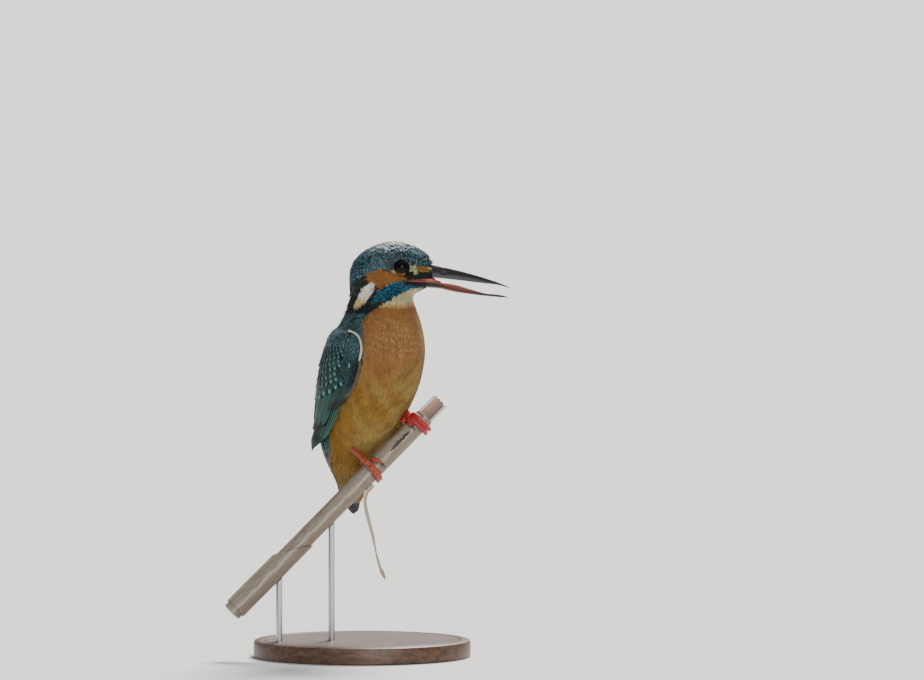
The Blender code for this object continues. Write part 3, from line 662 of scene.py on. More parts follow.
def across_wing(points, angle):
    """How far across the folded wing each point lies, from its front edge to its inner one."""
    front = np.interp(points[:, 2], WING_STATIONS[:, 0], WING_STATIONS[:, 5])
    inner = np.interp(points[:, 2], WING_STATIONS[:, 0], WING_STATIONS[:, 6])
    return (angle - front) / (inner - front)


def among(tracts, *names):
    """Which of the tracts have one of those names."""
    return np.isin(tracts, [NAMES.index(name) for name in names])


def tracts_at(points):
    """The tract each point lies in, as its place in the list of names."""
    x, height = points[:, 0], points[:, 2]
    side_angle = body_angle(points)
    angle = np.abs(side_angle)
    middle = np.interp(height, SPINE_Z, SPINE_X)
    reach = np.hypot(x - middle, points[:, 1] - np.interp(height, SPINE_Z, SPINE_Y))
    straight = middle + reach * np.cos(np.radians(angle))
    fray = soft_noise(points, 1.6, 41) * 0.22
    head_x = np.where(height > 171.0, x, straight) + fray
    head_z = height + fray
    from_eye = eye_distance(points)
    tract = np.full(len(points), NAMES.index("breast"))

    def paint(name, where):
        tract[where] = NAMES.index(name)

    def stroke(name, ahead=head_x, up=head_z):
        return band(ahead, up, STROKES[name]) < 0.0

    paint("belly", height + 3.0 * fray < 124.0)
    paint("vent", height + 3.0 * fray < 84.0)
    round_to = angle + 9.0 * fray
    paint("mantle", (round_to > np.interp(height, *SHOULDER)) & (height > 136.0) & (height < 160.5))
    paint("mantle", (round_to > 100.0) & (height > 92.0) & (height <= 136.0))
    # Low on the rump the sides take the mantle's dark colour and only the middle is azure: partly the rump's
    # dark edge, partly painted shade on its sides.
    paint("mantle", (round_to > 109.0) & (height > 70.0) & (height <= 92.0))
    paint("back", (round_to > 166.0) & (height <= 153.0))
    paint("back", (round_to > 163.0) & (height <= 97.0))
    head = height > 158.5
    paint("neck_buff", (height > 161.6 + 1.2 * fray) & (angle < 80.0))
    paint("throat", (height > 163.4 + 1.2 * fray) & (angle < 80.0))
    paint("nape", head & (angle > 98.0))
    paint("nape", (height > 170.5) & (angle > 60.0))
    paint("crown", height > np.interp(x, *CROWN_EDGE))
    paint("ear", (head_x > 8.0) & (head_x < 20.6) & (height > 171.0) & (height < 176.0))
    paint("malar", head & stroke("cheek"))
    # The cheek stroke's lower part takes the much darker malar colours, painted shade.
    paint("malar_shaded", head & stroke("cheek") & (head_z < 163.8 + 0.18 * (head_x - 9.0)))
    paint("ear", head & (stroke("ear") | stroke("behind_ear")))
    paint("bridle", (x > 20.2) & (height > 171.6) & (height < 178.0))
    paint("neck_patch", stroke("neck_patch"))
    paint("neck_buff", stroke("neck_patch") & (height < 164.6 + 3.0 * fray))
    paint("lore", stroke("lore"))
    paint("bridle", stroke("bridle", x, height) | stroke("bill_root", x, height))
    paint("under_eye", stroke("under_eye", x, height))
    paint("bridle", from_eye < np.where(height > 177.8, 4.15, 3.9))
    paint("eye_spot", stroke("eye_spot") & (from_eye > 4.3))
    paint("bridle", (x > 20.5) & stroke("mouth", x, height))
    paint("chin", (x > 27.5) & (height < 170.8) & (height > 160.0))

    near = np.array([covert_tree.find_nearest(Vector(point) * MM)[3] for point in points]) / MM
    wing_edge = np.where(side_angle > 0.0, 0.10, -0.045)
    over_wing = (near < 1.5) & (across_wing(points, angle) > wing_edge)
    paint("coverts", over_wing & (height < 151.0))
    return tract


tract_table = np.array([(*row[0], *row[1], *row[2:]) for row in TRACTS.values()])
BELLY_FROM, BELLY_TO, VENT_FROM, VENT_TO = 138.0, 112.0, 92.0, 74.0
PALE_BELLY, RIPPLE_HIGHLIGHT = np.array((0.285, 0.200, 0.058)), np.array((0.360, 0.225, 0.100))
# How strongly the belly's pale and dusky streaks and the breast's ripples show, and how far apart
# the ripples lie. The ripples are painted highlights: pale bands across the upper breast.
PALE_SHARE, DUSK_SHARE, RIPPLE_HIGHLIGHT_SHARE, RIPPLE_PITCH = 0.90, 0.26, 0.76, 3.1


def tract_colours(points, tracts, first):
    """Each point's colour, rust easing into orange and olive buff down the front of the body."""
    colours = tract_table[tracts, first : first + 3]
    body = "breast", "belly", "vent"
    breast, belly, vent = (tract_table[NAMES.index(name), first : first + 3] for name in body)
    height = points[:, 2]
    lower = 1.0 - smooth(height, BELLY_TO, BELLY_FROM)
    last = 1.0 - smooth(height, VENT_TO, VENT_FROM)
    graded = breast + (belly - breast) * lower[:, None]
    graded = graded + (vent - graded) * last[:, None]
    angle = body_angle(points)
    streaks = soft_noise(points * (1.0, 1.0, 0.22), 4.0, 71) * 0.5 + 0.5
    ahead = 1.0 - smooth(np.abs(angle + 15.0), 20.0, 70.0)
    pale = streaks.clip(0.0, 1.0) * ahead * smooth(height, 80.0, 100.0)
    pale *= 1.0 - smooth(height, 126.0, 142.0)
    graded = graded + (PALE_BELLY - graded) * (PALE_SHARE * pale)[:, None]
    dusk = smooth(soft_noise(points * (1.0, 1.0, 0.16), 2.0, 73), 0.10, 1.0)
    dusk *= 1.0 - smooth(height, 134.0, 150.0)
    graded = graded * (1.0 - DUSK_SHARE * dusk)[:, None]
    # Painted highlights: pale ripples in bands across the upper breast, strongest at its front.
    level = height + 0.30 * soft_noise(points, 8.0, 72) - 0.0012 * angle**2
    wave = np.sin(level * math.tau / RIPPLE_PITCH)
    ripple_highlight = smooth(wave, 0.0, 0.9) * smooth(height, 132.0, 142.0) * (1.0 - smooth(height, 152.0, 159.0))
    ripple_highlight *= 1.0 - smooth(np.abs(angle + 20.0), 20.0, 60.0)
    graded = graded + (RIPPLE_HIGHLIGHT - graded) * (RIPPLE_HIGHLIGHT_SHARE * ripple_highlight)[:, None]
    # The wing's top is painted lighter and greyer, a painted sheen, and darker under the scapulars'
    # edge and in the slit along its front, painted shade.
    wing = among(tracts, "coverts")
    across = across_wing(points, np.abs(angle))
    above = height - np.interp(across, SCAPULARS[:, 0], SCAPULARS[:, 1])
    # Painted sheen: the wing's top is lightened and greyed.
    colours = colours * (1.0 + (wing * smooth(height, 132.0, 148.0))[:, None] * np.array((2.1, 1.2, 1.35)))
    # Painted shade in the crease under the scapulars' edge and in the slit along the wing's front.
    crease = wing * smooth(above, -0.9, -0.1) * (1.0 - smooth(above, 0.5, 1.1))
    slit = wing * (1.0 - smooth(across, 0.035, 0.06)) * (1.0 - smooth(height, 136.0, 138.0))
    colours = colours * (1.0 - 0.75 * np.maximum(crease, slit))[:, None]
    # More painted sheen: a grey lift above the scapulars' edge.
    colours = colours + wing[:, None] * smooth(above, 0.5, 1.1)[:, None] * np.array((0.045, 0.052, 0.054))
    return np.where(among(tracts, *body)[:, None], graded, colours)


skin_tract = tracts_at(skin_points)
skin_colour = tract_colours(skin_points, skin_tract, 0) * 0.75
add_layer(skin_mesh, "ground", skin_colour, "FLOAT_COLOR")
hide = Finish("skin under the coat", 0.8)
mottle = hide.noise(hide.place(), 900.0, 3.0)
hide.finish(hide.mix(mottle * 0.4, hide.colour("ground"), (0.02, 0.012, 0.008)), 0.8, mottle, 0.0001)
show("skin", skin_mesh, hide.material, [*FLESH, *COVERTS])

# --- Coat --------------------------------------------------------------------------------------
# Small body feathers, each a thin cambered vane with a worn tip. They overlap like tiles from the
# bill back to the tail, and their tips reach the bird's outline.

BILL_BASE = (34.0, 0.0, 176.0)
SEED = 7
TRIES = 11.0  # places tried for each square millimetre of skin
EYE_CLEAR = 3.75  # no feather grows nearer to the middle of an eye
# The feathers end along a line that slopes back from the forehead to the chin: heights, and X.
FACE_ENDS = (168.0, 171.0, 175.0, 179.6, 181.0), (31.3, 31.6, 33.2, 34.5, 31.2)


def lie_of(points, normals):
    """The way the coat runs over the skin: back from the bill, then down the body."""
    height = points[:, 2]
    back = points - np.array(BILL_BASE)
    back /= np.linalg.norm(back, axis=1)[:, None]
    down = np.column_stack([
        -np.interp(height, (80.0, 106.0, 118.0, 151.0, 160.0), (-0.05, 0.12, 0.24, 0.17, 0.0)),
        np.interp(height, (80.0, 106.0, 118.0, 151.0, 160.0), (0.06, 0.14, 0.20, 0.17, 0.05)),
        -np.ones(len(points)),
    ])
    down /= np.linalg.norm(down, axis=1)[:, None]
    face = smooth(height, 156.0, 176.0) * (1.0 - 0.5 * smooth(toward(BILL_BASE, points), 24.0, 42.0))
    run = back * face[:, None] + down * (1.0 - face)[:, None]
    run -= normals * (run * normals).sum(axis=1)[:, None]
    return run / np.maximum(np.linalg.norm(run, axis=1), 1e-6)[:, None]


def unit(vectors):
    return vectors / np.maximum(np.linalg.norm(vectors, axis=-1, keepdims=True), 1e-9)


def vane_grid(rows, columns):
    """The faces of one closed vane: its upper side and, within the same rim, its underside."""
    top = np.arange((rows + 1) * columns).reshape(rows + 1, columns)
    under = top.copy()
    under[1:-1, 1:-1] = top.size + np.arange((rows - 1) * (columns - 2)).reshape(rows - 1, columns - 2)
    faces = [
        np.stack([top[:-1, :-1], top[:-1, 1:], top[1:, 1:], top[1:, :-1]], axis=-1).reshape(-1, 4),
        np.stack([under[:-1, :-1], under[1:, :-1], under[1:, 1:], under[:-1, 1:]], axis=-1).reshape(-1, 4),
    ]
    return np.concatenate(faces), top.size + (rows - 1) * (columns - 2)


def vanes(samples, normals, width, grid, shape, seed):
    """Feathers over their centre lines: points, and for each its (across, along, chance) place.

    grid is the rows and columns of each vane. shape gives the half widths from root to tip as
    shares of the widest, how far the tip's outer barbs stop short of its middle, how worn and how
    cupped the feathers are, how thick, and how unevenly they tilt sideways.
    """
    rows, columns = grid
    outline, blunt, jag, camber, thick, roll = shape
    rng = np.random.default_rng(seed)
    count = len(samples)
    chance = rng.uniform(0.0, 1.0, count)
    across = np.linspace(-1.0, 1.0, columns)
    share = np.linspace(0.0, 1.0, rows + 1)
    reach = 1.0 - blunt * np.abs(across) ** 2.2
    worn = 1.0 - jag * rng.uniform(0.0, 1.0, (count, columns))
    at = share[None, :, None] * (reach[None, :] * worn)[:, None, :]
    flat = at.reshape(count, -1)
    centre = on_curve(samples, flat)
    ahead, behind = np.minimum(flat + 0.05, 1.0), np.maximum(flat - 0.05, 0.0)
    run = unit(on_curve(samples, ahead) - on_curve(samples, behind))
    out = unit(on_curve(normals, flat))
    lean = rng.normal(0.0, roll, count)[:, None, None]
    out = unit(out + unit(np.cross(run, out)) * lean)
    side = unit(np.cross(run, out))
    stations = np.linspace(0.0, 1.0, len(outline))
    half = np.interp(at, stations, outline).reshape(count, -1) * width[:, None] / 2
    lateral = np.broadcast_to(across, (count, rows + 1, columns)).reshape(count, -1)
    points = centre + side * (half * lateral)[..., None] - out * (camber * half * lateral**2)[..., None]
    inner = np.zeros((rows + 1, columns), bool)
    inner[1:-1, 1:-1] = True
    inner = inner.ravel()
    under = points[:, inner] - out[:, inner] * thick
    along = np.broadcast_to(share[:, None], (rows + 1, columns)).reshape(1, -1) * np.ones((count, 1))
    place = np.stack([lateral, along, np.broadcast_to(chance[:, None], lateral.shape)], axis=-1)
    return np.concatenate([points, under], axis=1), np.concatenate([place, place[:, inner]], axis=1)


def along_vane(values, place):
    """Spreads the colours at a feather's root, middle and tip over its points."""
    share = place[..., 1] * 2.0
    weights = np.stack([1.0 - share, 1.0 - np.abs(share - 1.0), share - 1.0], axis=-1).clip(0.0, 1.0)
    return weights @ values


def feather_mesh(name, points, place, grid, layers, roots=None):
    """One mesh of many vanes. layers are values kept for each feather, and roots its UV places."""
    rows, columns = grid
    if roots is None:
        nearest = [skin_tree.find_nearest(Vector(root) * MM)[2] for root in points[:, columns // 2]]
        roots = face_place[nearest]
    faces, size = vane_grid(rows, columns)
    count = len(points)
    corners = (faces[None] + (np.arange(count) * size)[:, None, None]).reshape(-1)
    mesh = bpy.data.meshes.new(name)
    mesh.vertices.add(count * size)
    mesh.vertices.foreach_set("co", (points.reshape(-1) * MM).astype(np.float32))
    mesh.loops.add(len(corners))
    mesh.loops.foreach_set("vertex_index", corners.astype(np.int32))
    mesh.polygons.add(len(corners) // 4)
    mesh.polygons.foreach_set("loop_start", np.arange(0, len(corners), 4, dtype=np.int32))
    mesh.update(calc_edges=True)
    rim = np.zeros(size, bool)
    upper = np.arange((rows + 1) * columns).reshape(rows + 1, columns)
    rim[upper[[0, -1]].ravel()] = True
    rim[upper[:, [0, -1]].ravel()] = True
    ends = np.zeros(len(mesh.edges) * 2, dtype=np.int32)
    mesh.edges.foreach_get("vertices", ends)
    crease = mesh.attributes.new("sharp_edge", "BOOLEAN", "EDGE")
    crease.data.foreach_set("value", rim[ends.reshape(-1, 2) % size].all(axis=1))
    add_layer(mesh, "vane", place.reshape(-1, 3))
    for key, values in layers.items():
        kind = "FLOAT_COLOR" if key in ("ground", "tip") else "FLOAT_VECTOR"
        each = np.repeat(values[:, None], size, axis=1) if values.ndim == 2 else along_vane(values, place)
        add_layer(mesh, key, each.reshape(-1, each.shape[-1]), kind)
    spots = roots[:, None, :] + (place[..., :2] * (0.5, 1.0) - (0.0, 0.5)) * 0.003
    layer = mesh.uv_layers.new(name="OFBake")
    layer.data.foreach_set("uv", spots.reshape(-1, 2)[corners].astype(np.float32).ravel())
    mesh.validate()
    return mesh


def feathers(name, finish, strands, grid, shape, seed, layers, instead_of=(), roots=None):
    """Shows one piece of vanes. strands are their centre lines, their ways out and widths."""
    points, place = vanes(*(np.array(part) for part in strands), grid, shape, seed)
    show(name, feather_mesh(name, points, place, grid, layers, roots), finish.material, instead_of)


def one_tract(name, light, rng, count):
    """Layers for feathers of one tract, each lighter or darker by chance."""
    colours = tract_table[NAMES.index(name), 0:6] * rng.uniform(*light, (count, 1))
    mark = np.tile((0.6, 1.2, 0.0), (count, 1))
    return {"ground": colours[:, 0:3], "tip": colours[:, 3:6], "mark": mark}


def feather_finish(name, roughness, barb_depth, **constants):
    """Vane colours: ground and tip, darker towards the root, fine slanting barbs and uneven wear."""
    made = Finish(name, roughness, **constants)
    across, along, chance = made.parts("vane")
    start, half, _ = made.parts("mark")
    tip = along.ease(start, start + 0.16) * (1.0 - across.size().ease(half, half + 0.25))
    colour = made.mix(tip, made.colour("ground"), made.colour("tip"))
    barbs = (along * 46.0 + across.size() * 20.0 + chance * 30.0).wave() * 0.5 + 0.5
    patchy = made.noise(made.place(), 420.0, 3.0)
    shade = 0.82 + chance * 0.16 + patchy * 0.30 - barbs * 0.08 - (1.0 - along.ease(0.1, 0.7)) * 0.15
    wear = roughness - 0.16 + patchy * 0.16 + chance * 0.16
    made.finish(made.shaded(colour, shade), wear, barbs, barb_depth)
    return made


rng = np.random.default_rng(SEED)
tries = rng.uniform(0.0, 1.0, len(face_area))
copies = np.floor(face_area * TRIES + tries).astype(int)
chosen = np.repeat(np.arange(len(face_area)), copies)
jitter = rng.uniform(-0.5, 0.5, (len(chosen), 3)) * np.sqrt(face_area[chosen])[:, None]
jitter -= face_normal[chosen] * (jitter * face_normal[chosen]).sum(axis=1)[:, None]
seeds = face_middle[chosen] + jitter
seed_tract = tracts_at(seeds)
spacing = tract_table[seed_tract, 10]
keep = (eye_distance(seeds) > EYE_CLEAR) & (seeds[:, 0] < np.interp(seeds[:, 2], *FACE_ENDS))
keep &= (face_normal[chosen, 0] < 0.78) | (seeds[:, 2] < 169.0)
keep &= band(seeds[:, 0], seeds[:, 2], GAPE) > 0.05
# The rows of larger wing coverts, made further on, take the place of scattered ones.
across = across_wing(seeds, np.abs(body_angle(seeds)))
under_rows = across > np.interp(seeds[:, 2], ROWS_BEGIN[:, 1], ROWS_BEGIN[:, 0])
under_rows &= seeds[:, 2] < np.interp(across, SCAPULARS[:, 0], SCAPULARS[:, 1]) - 1.0
under_rows |= seeds[:, 2] < 119.0
keep &= ~(among(seed_tract, "coverts") & under_rows)
order = rng.permutation(len(seeds))
tree = KDTree(len(seeds))
for number, point in enumerate(seeds):
    tree.insert(point, number)
tree.balance()
alive = keep.copy()
taken = []
for number in order:
    if alive[number]:
        taken.append(number)
        for _, other, _ in tree.find_range(seeds[number], spacing[number]):
            alive[other] = False
taken = np.array(sorted(taken))
roots = seeds[taken]
root_face = chosen[taken]
root_tract = seed_tract[taken]


def over_skin(points, fallback):
    """The nearest places on the skin, and its normals there."""
    places, ways = np.empty_like(points), np.empty_like(points)
    for number, point in enumerate(points):
        place, way, _, _ = skin_tree.find_nearest(Vector(point) * MM)
        places[number] = place
        ways[number] = way
    return places / MM, unit(ways + 0.6 * fallback)


root_normal = face_normal[root_face]
length = tract_table[root_tract, 8] * rng.uniform(0.85, 1.15, len(roots))
width = tract_table[root_tract, 9] * rng.uniform(0.85, 1.15, len(roots))
flow = lie_of(roots, root_normal)
sideways = np.cross(flow, root_normal)
flow = unit(flow + sideways * rng.normal(0.0, 0.07, len(roots))[:, None])
depth = coat_depth(roots)
soft = ~among(root_tract, "crown", "nape", "malar", "malar_shaded", "mantle", "coverts")
lifts = np.where(soft[:, None], (0.50, 0.82, 1.00), (0.20, 0.76, 1.00))
# The crown and nape are a little raised and ragged, some of their feathers standing off the rest.
stand = 1.0 + among(root_tract, "crown", "nape") * rng.uniform(0.0, 0.30, len(roots))
stand += among(root_tract, "nape") * (rng.uniform(0.0, 1.0, len(roots)) > 0.8) * 0.55
samples = np.empty((len(roots), 3, 3))
sample_normals = np.empty_like(samples)
here, way = roots, root_normal
for station in range(3):
    if station:
        here = here + flow * (length / 2)[:, None]
        here, way = over_skin(here, way)
    raised = lifts[:, station] * depth * (1.0 + (stand - 1.0) * station / 2.0)
    samples[:, station] = here + way * (raised + 0.12)[:, None]
    sample_normals[:, station] = way
    flow = unit(flow - way * (flow * way).sum(axis=1)[:, None])
uneven = 1.0 + 0.07 * soft_noise(roots, 7.0, 51) + rng.normal(0.0, 0.05, len(roots))
station_tract = np.stack([tracts_at(samples[:, station]) for station in range(3)], axis=1)
ground = np.stack([tract_colours(samples[:, k], station_tract[:, k], 0) for k in range(3)], axis=1)
tip = np.stack([tract_colours(samples[:, k], station_tract[:, k], 3) for k in range(3)], axis=1)
ground *= uneven[:, None, None]
tip *= uneven[:, None, None]
# Painted glints: one scattered covert in twenty gets tips three times as bright.
painted_glint = among(root_tract, "coverts") & (rng.uniform(0.0, 1.0, len(roots)) > 0.95)
tip[painted_glint] *= 3.0
mark = np.column_stack([tract_table[station_tract[:, 2], 6:8], np.zeros(len(roots))])
soft_feather = feather_finish(
    "soft body feather", 0.75, 0.00001, specular_ior_level=0.10, sheen_weight=0.06, sheen_roughness=0.6
)
gloss_feather = feather_finish("glossy blue feather", 0.42, 0.00002, specular_ior_level=0.25)
crown_feather = feather_finish("glossy crown feather", 0.38, 0.00002, specular_ior_level=0.45)
# The rows and columns of each small vane and of each larger one.
SMALL, LARGE = (3, 5), (4, 7)
# Each coat piece: its tracts, its vanes' rows and columns, its slot and its finish. No piece has
# the under_eye tract, so the thin strip below each eye is skin in that colour, without feathers.
GROUPS = {
    "coat_crown": (("crown",), SMALL, "crown_blue", crown_feather),
    "coat_nape": (("nape",), SMALL, "crown_blue", gloss_feather),
    "coat_face": (("ear", "bridle", "lore", "eye_spot", "chin"), SMALL, "breast_rust", soft_feather),
    "coat_throat": (("throat", "neck_patch", "neck_buff"), SMALL, "breast_rust", soft_feather),
    "coat_malar": (("malar", "malar_shaded"), SMALL, "crown_blue", gloss_feather),
    "coat_breast": (("breast",), SMALL, "breast_rust", soft_feather),
    "coat_belly": (("belly",), SMALL, "breast_rust", soft_feather),
    "coat_vent": (("vent",), SMALL, "breast_rust", soft_feather),
    "coat_back": (("mantle", "back"), LARGE, "crown_blue", gloss_feather),
    "coat_wings": (("coverts",), LARGE, "wing_teal", gloss_feather),
}
# The shapes of glossy and of soft feathers, in the order that vanes takes them.
GLOSSY_SHAPE = ((0.35, 0.80, 1.0, 0.98, 0.80, 0.45), 0.30, 0.10, 0.20, 0.05, 0.13)
SOFT_SHAPE = ((0.40, 0.85, 1.0, 0.95, 0.70, 0.30), 0.22, 0.40, 0.05, 0.05, 0.04)
for name, (members, grid, slot, finish) in GROUPS.items():
    inside = among(root_tract, *members)
    shape = SOFT_SHAPE if finish is soft_feather else GLOSSY_SHAPE
    strands = samples[inside], sample_normals[inside], width[inside]
    layers = {"ground": ground[inside], "tip": tip[inside], "mark": mark[inside]}
    feathers(name, finish, strands, grid, shape, SEED, layers, (), face_place[root_face[inside]])

# --- Flight feathers ---------------------------------------------------------------------------
# The long quills of both folded wings. Stiff dark primaries lie lowest, with a teal outer web, and
# the shorter teal secondaries are stacked on them. The wing coverts hide the roots of both.

PRIMARIES, SECONDARIES, TERTIALS = 10, 10, 3
AHEAD = np.array((math.cos(math.radians(BODY_YAW)), math.sin(math.radians(BODY_YAW)), 0.0))
LEFTWARD = np.array((-AHEAD[1], AHEAD[0], 0.0))
LEFT_EDGE = 0.10  # the breast feathers cover this share of the left wing's front
SIDES = (("right", -1.0), ("left", 1.0))


def on_wing(height, across, lift, sign):
    """A place over the folded wing, and the way out there. across runs from front to inner edge."""
    across = across if sign < 0 else LEFT_EDGE + (1.0 - LEFT_EDGE) * across
    columns = (np.interp(height, WING_STATIONS[:, 0], WING_STATIONS[:, k]) for k in range(1, 8))
    x, y, deep, wide, front, inner, stand = columns
    turn = np.radians(sign * (front + (inner - front) * across))
    out = AHEAD * np.cos(turn) / (deep + stand) + LEFTWARD * np.sin(turn) / (wide + stand)
    centre = np.array((x, y, height))
    place = centre + AHEAD * np.cos(turn) * (deep + stand + lift)
    return place + LEFTWARD * np.sin(turn) * (wide + stand + lift), out / np.linalg.norm(out)


def wing_quills(sign):
    """Centre lines, ways out and widths of one wing's quills, lowest first."""
    lines, ways, widths, kinds = [], [], [], []

    def quill(start, end, across, swing, lift, width, kind):
        stations = [
            on_wing(start + (end - start) * share, across + swing * share, lift(share), sign)
            for share in np.linspace(0.0, 1.0, 9)
        ]
        lines.append([place for place, _ in stations])
        ways.append([way for _, way in stations])
        widths.append(width)
        kinds.append(kind)

    for number in range(PRIMARIES):
        across = 0.075 + 0.036 * number
        tip = np.interp(number, (0, 3, 6, 9), (99.0, 96.4, 94.6, 93.9))
        swing = 0.02 * (1.0 - number / 12)
        quill(118.0, tip, across, swing, lambda share, n=number: 0.05 + 0.055 * n, 5.2, 0)
    for number in range(SECONDARIES):
        across = 0.235 + 0.080 * number
        tip = np.interp(across, (0.2, 0.35, 0.5, 1.0), (106.0, 104.6, 104.0, 103.0))
        quill(127.5, tip, across, 0.0, lambda share, n=number: 0.70 + 0.06 * n + 0.25 * share, 6.4, 1)
    for number in range(TERTIALS):
        across = 0.74 + 0.10 * number
        quill(128.0, 108.0 + 2.5 * number, across, 0.0, lambda share, n=number: 1.40 + 0.10 * n, 6.6, 2)
    return np.array(lines), np.array(ways), np.array(widths), np.array(kinds)


QUILL_SHAPE = ((0.45, 0.75, 0.92, 1.0, 1.0, 0.97, 0.88, 0.62), 0.10, 0.015, 0.06, 0.10, 0.02)
# Primary, secondary and tertial: inner web, outer web.
QUILL_COLOURS = np.array((
    ((0.005, 0.014, 0.011), (0.009, 0.034, 0.025)),
    ((0.011, 0.042, 0.037), (0.018, 0.070, 0.062)),
    ((0.012, 0.045, 0.042), (0.020, 0.075, 0.069)),
))

quill = Finish("wing quill", 0.42, specular_ior_level=0.14)
across, along, chance = quill.parts("vane")
kind, outer, _ = quill.parts("mark")
web = (across * outer).ease(-0.10, 0.10)
colour = quill.mix(web, quill.colour("ground"), quill.colour("tip"))
edge = (across * outer).ease(0.88, 0.93) * (1.0 - along.ease(0.88, 0.95))
edge *= 1.0 - kind.ease(0.2, 0.8) * 0.8
colour = quill.mix(edge * 0.85, colour, (0.110, 0.260, 0.190))
colour = quill.mix((1.0 - kind.ease(1.2, 1.6)) * along.ease(0.91, 0.96), colour, (0.016, 0.012, 0.010))
shaft = 1.0 - across.size().ease(0.03, 0.10)
colour = quill.mix(shaft * 0.85, colour, (0.010, 0.008, 0.008))
barbs = (along * 260.0 - across.size() * 46.0 + chance * 20.0).wave() * 0.5 + 0.5
# Each vane splits along its barbs, differently on either side of the shaft.
split_place = {0: along * 5.0 - across.size() * 1.2, 1: across.ease(-0.01, 0.01) * 9.0, 2: chance * 60.0}
splits = quill.noise(quill.node("ShaderNodeCombineXYZ", inputs=split_place), 6.0, 2.0)
colour = quill.shaded(colour, 0.84 + splits * 0.32 - barbs * 0.02)
quill.finish(colour, 0.34 + splits * 0.2, barbs * 0.15 + shaft * 3.0 + splits, 0.00006)
for wing, sign in SIDES:
    *strands, kinds = wing_quills(sign)
    layers = {
        "ground": QUILL_COLOURS[kinds, 0],
        "tip": QUILL_COLOURS[kinds, 1],
        "mark": np.column_stack([kinds, np.full(len(kinds), sign), np.zeros(len(kinds))]),
    }
    hidden = [f"wing_{wing}_primaries", f"wing_{wing}_secondaries"]
    feathers(f"wing_{wing}_quills", quill, strands, (22, 9), QUILL_SHAPE, 61, layers, hidden)

# --- Wing coverts ------------------------------------------------------------------------------
# Rows of coverts like curved tiles, larger and with azure spots towards the quills, finer and
# greyer blue towards the wrist, that grey partly a painted sheen. Six dark ones lie over the roots
# of the primaries.

# How far each row stands from the lowest one towards the top of the wing.
ROW_SHARES = (0.0, 0.18, 0.30, 0.41, 0.51, 0.60, 0.68, 0.75, 0.81, 0.865)
WING_TOP = np.array((0.34, 148.6))
ROW_ENDS = np.array(((9.4, 2.65), (2.0, 1.30)))  # feather length and spacing, lowest and highest row
ROW_PULL = 0.6  # how much the rows shorten towards the top
LOW_ROW = np.array(((0.007, 0.030, 0.025), (0.095, 0.290, 0.310)))
# The highest rows' lighter, greyer blue is partly a painted sheen on the wing's top.
HIGH_ROW = np.array(((0.028, 0.058, 0.062), (0.072, 0.142, 0.160)))
WRIST = np.array(((0.009, 0.036, 0.028), (0.008, 0.012, 0.010)))
EDGE_SHAPE = ((0.6, 0.9, 1.0, 1.0, 0.85, 0.5), 0.25, 0.15, 0.38, 0.06, 0.0)
ROW_SHAPE = ((0.5, 0.85, 1.0, 1.0, 0.9, 0.6), 0.24, 0.05, 0.14, 0.06, 0.06)
# The pale edge of the wing above, its pale colour partly a painted highlight along the rim, and the
# dull one below it: the places (across, height) of each, its feathers' width and their two colours.
PALE_EDGE = (
    ((0.13, 150.2), (0.08, 150.9), (0.03, 150.8), (0.0, 149.5), (-0.005, 146.0), (0.0, 141.0), (0.01, 136.7)),
    0.95,
    ((0.420, 0.385, 0.320), (0.500, 0.460, 0.390)),
)
DULL_EDGE = (
    ((0.0, 138.0), (-0.015, 131.0), (-0.012, 125.0), (0.0, 120.0)),
    1.05,
    ((0.060, 0.052, 0.043), (0.090, 0.080, 0.066)),
)


def spaced(tips, pitch):
    """Places that far apart along a row's (across, height) line."""
    step = np.hypot(np.diff(tips[:, 0]) * 30.0, np.diff(tips[:, 1]))
    run = np.concatenate([[0.0], np.cumsum(step)])
    at = np.linspace(0.0, run[-1], max(int(run[-1] / pitch), 3))
    return np.column_stack([np.interp(at, run, tips[:, 0]), np.interp(at, run, tips[:, 1])])


def covert_rows(sign):
    """Centre lines, ways out, widths, colours and marks of one wing's coverts, lowest first."""
    lines, ways, widths, colours, marks = [], [], [], [], []
    chance = np.random.default_rng(64)

    def covert(start, end, lift, width, colour, mark):
        """A feather from start to end, each (across, height), with its lift at root and tip."""
        stations = [
            on_wing(
                min(start[1] + (end[1] - start[1]) * share, 151.4),
                start[0] + (end[0] - start[0]) * share,
                lift[0] + (lift[1] - lift[0]) * share,
                sign,
            )
            for share in np.linspace(0.0, 1.0, 5)
        ]
        lines.append([place for place, _ in stations])
        ways.append([way for _, way in stations])
        widths.append(width * chance.uniform(0.92, 1.08))
        colours.append(colour * chance.uniform(0.86, 1.14))
        marks.append(mark)

    for number in range(6):
        across = 0.02 + 0.030 * number
        start, end = (across + 0.02, 128.0), (across, 115.4 - 0.5 * number)
        covert(start, end, (1.1, 1.45), 3.2, WRIST, (0.62, 1.2, 0.0))
    for share in ROW_SHARES:
        pull = (WING_TOP - GREATER_TIPS) * (share * ROW_PULL, share)
        tips = GREATER_TIPS + pull * (GREATER_TIPS < WING_TOP)
        length, pitch = ROW_ENDS[0] + (ROW_ENDS[1] - ROW_ENDS[0]) * share**0.8
        colour = LOW_ROW + (HIGH_ROW - LOW_ROW) * share
        mark = (0.75 - 0.02 * share, 0.25 + 0.14 * share, 0.0)
        for across, height in spaced(tips, pitch):
            across += chance.normal(0.0, 0.004)
            height += chance.normal(0.0, 0.02) * length
            below = np.interp(across, SCAPULARS[:, 0], SCAPULARS[:, 1]) - 0.5
            if height + min(length, 2.0) > below or (share > 0.1 and across < 0.20):
                continue
            lift = (1.35 + 0.45 * share, 1.95 + 0.40 * share)
            lean = 0.05 + 0.10 * float(smooth(WING_TOP[0] - across, 0.0, 0.3))
            start = (across + lean, min(height + length, below))
            covert(start, (across, height), lift, pitch * 1.6, colour, mark)
    return np.array(lines), np.array(ways), np.array(widths), np.array(colours), np.array(marks)


